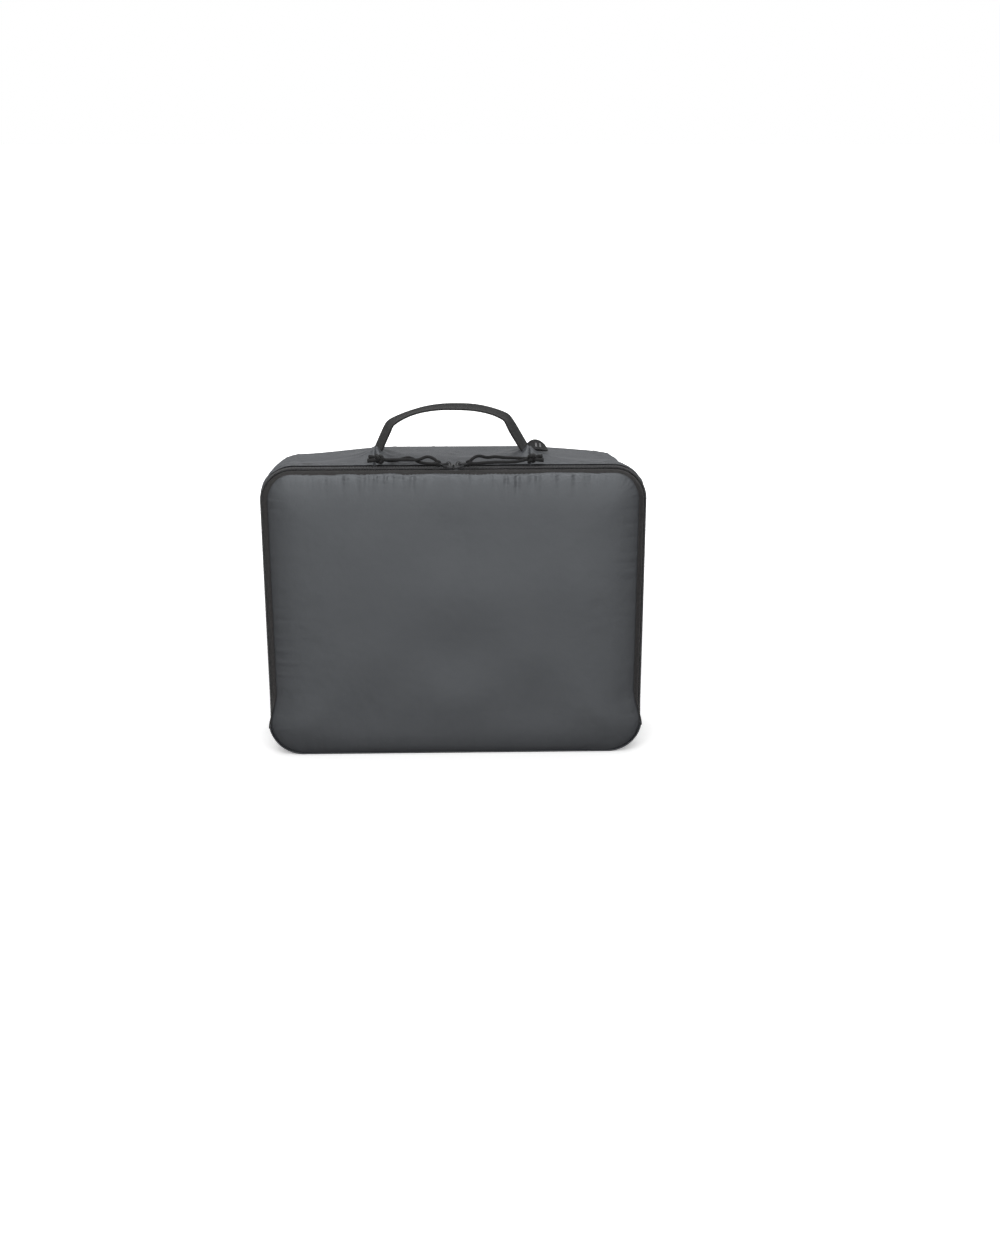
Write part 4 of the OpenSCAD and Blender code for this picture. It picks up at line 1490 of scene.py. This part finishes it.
# ---- Stage and light ----

def area_light(name, place, target, width, height, power):
    """A soft rectangular light aimed at a point."""
    data = bpy.data.lights.new(name, "AREA")
    data.shape = "RECTANGLE"
    data.size = width
    data.size_y = height
    data.energy = power
    light = into_scene(name, data)
    light.location = place
    aim = Vector(target) - Vector(place)
    light.rotation_euler = aim.to_track_quat("-Z", "Y").to_euler()


def make_stage():
    """A pale floor that runs far past the bag on every side, glowing with a painted light that grows away
    from the bag.
    """
    reach = 60000
    corners = [(-reach, -reach, 0), (reach, -reach, 0), (reach, reach, 0), (-reach, reach, 0)]
    piece = add_object("pale_floor", corners, [(0, 1, 2, 3)], smooth=False)
    material, tree, shader = new_material("pale_floor_paint")
    place = node(tree, "ShaderNodeTexCoord")
    colour, _ = mottled(tree, place.outputs["Object"], 3, 2, (0.955, 0.955, 0.955), (0.965, 0.965, 0.965))
    tree.links.new(colour, shader.inputs["Base Color"])
    set_inputs(shader, Roughness=0.8, Specular_IOR_Level=0.1, Emission_Color=(1, 1, 1, 1))
    # The floor glows, a painted light: weak near the bag, where its shadow falls, and stronger further out so
    # the far floor reads white.
    away = node(tree, "ShaderNodeVectorMath", operation="LENGTH")
    tree.links.new(place.outputs["Object"], away.inputs[0])
    far = maths(tree, "MULTIPLY", maths(tree, "SUBTRACT", away.outputs["Value"], 0.4), 1.6, clamp=True)
    glow = maths(tree, "ADD", maths(tree, "MULTIPLY", far, 0.7), 0.31)
    tree.links.new(glow, shader.inputs["Emission Strength"])
    piece.data.materials.append(material)
    piece.visible_diffuse = False
    piece.visible_glossy = False


def soft_panel(tree, split, facing, degrees_up, spread, strength):
    """Light from a large soft panel in front of the bag (-1) or behind it (1), as a lobe of directions."""
    tilt = math.radians(degrees_up)
    level = maths(tree, "MULTIPLY", split.outputs[1], facing * math.cos(tilt))
    rise = maths(tree, "MULTIPLY", split.outputs[2], math.sin(tilt))
    away = maths(tree, "SUBTRACT", maths(tree, "ADD", level, rise), 1.0)
    lobe = maths(tree, "EXPONENT", maths(tree, "MULTIPLY", away, spread))
    return maths(tree, "MULTIPLY", lobe, strength)


def make_world():
    """White to the camera; the light it gives comes from soft panels in front, behind and above."""
    world = bpy.data.worlds.new("studio")
    world.use_nodes = True
    tree = world.node_tree
    place = node(tree, "ShaderNodeTexCoord")
    split = node(tree, "ShaderNodeSeparateXYZ")
    tree.links.new(place.outputs["Generated"], split.inputs[0])
    above = maths(tree, "MAXIMUM", split.outputs[2], 0.0)
    glow = maths(tree, "ADD", maths(tree, "MULTIPLY", above, SKY_ABOVE), SKY_BASE)
    glow = maths(tree, "ADD", glow, soft_panel(tree, split, -1, FRONT_TILT, FRONT_SPREAD, FRONT_GLOW))
    glow = maths(tree, "ADD", glow, soft_panel(tree, split, 1, BACK_TILT, BACK_SPREAD, BACK_GLOW))
    seen = node(tree, "ShaderNodeLightPath")
    unseen = maths(tree, "SUBTRACT", 1.0, seen.outputs["Is Camera Ray"])
    strength = maths(tree, "ADD", seen.outputs["Is Camera Ray"], maths(tree, "MULTIPLY", unseen, glow))
    background = tree.nodes["Background"]
    background.inputs["Color"].default_value = (1, 1, 1, 1)
    tree.links.new(strength, background.inputs["Strength"])
    bpy.context.scene.world = world


SKY_BASE = 0.06
SKY_ABOVE = 0.35
FRONT_TILT = 5
FRONT_SPREAD = 7.5
FRONT_GLOW = 2.38
BACK_TILT = 12
BACK_SPREAD = 5.0
BACK_GLOW = 0.40

make_stage()
make_world()
area_light("key", (-0.05, -1.15, 1.45), (0, 0, 0.17), 1.1, 0.9, 13)
area_light("top", (0.0, 0.5, 2.2), (0, 0.1, 0), 2.6, 2.6, 24)
bpy.context.scene.view_settings.view_transform = "Standard"
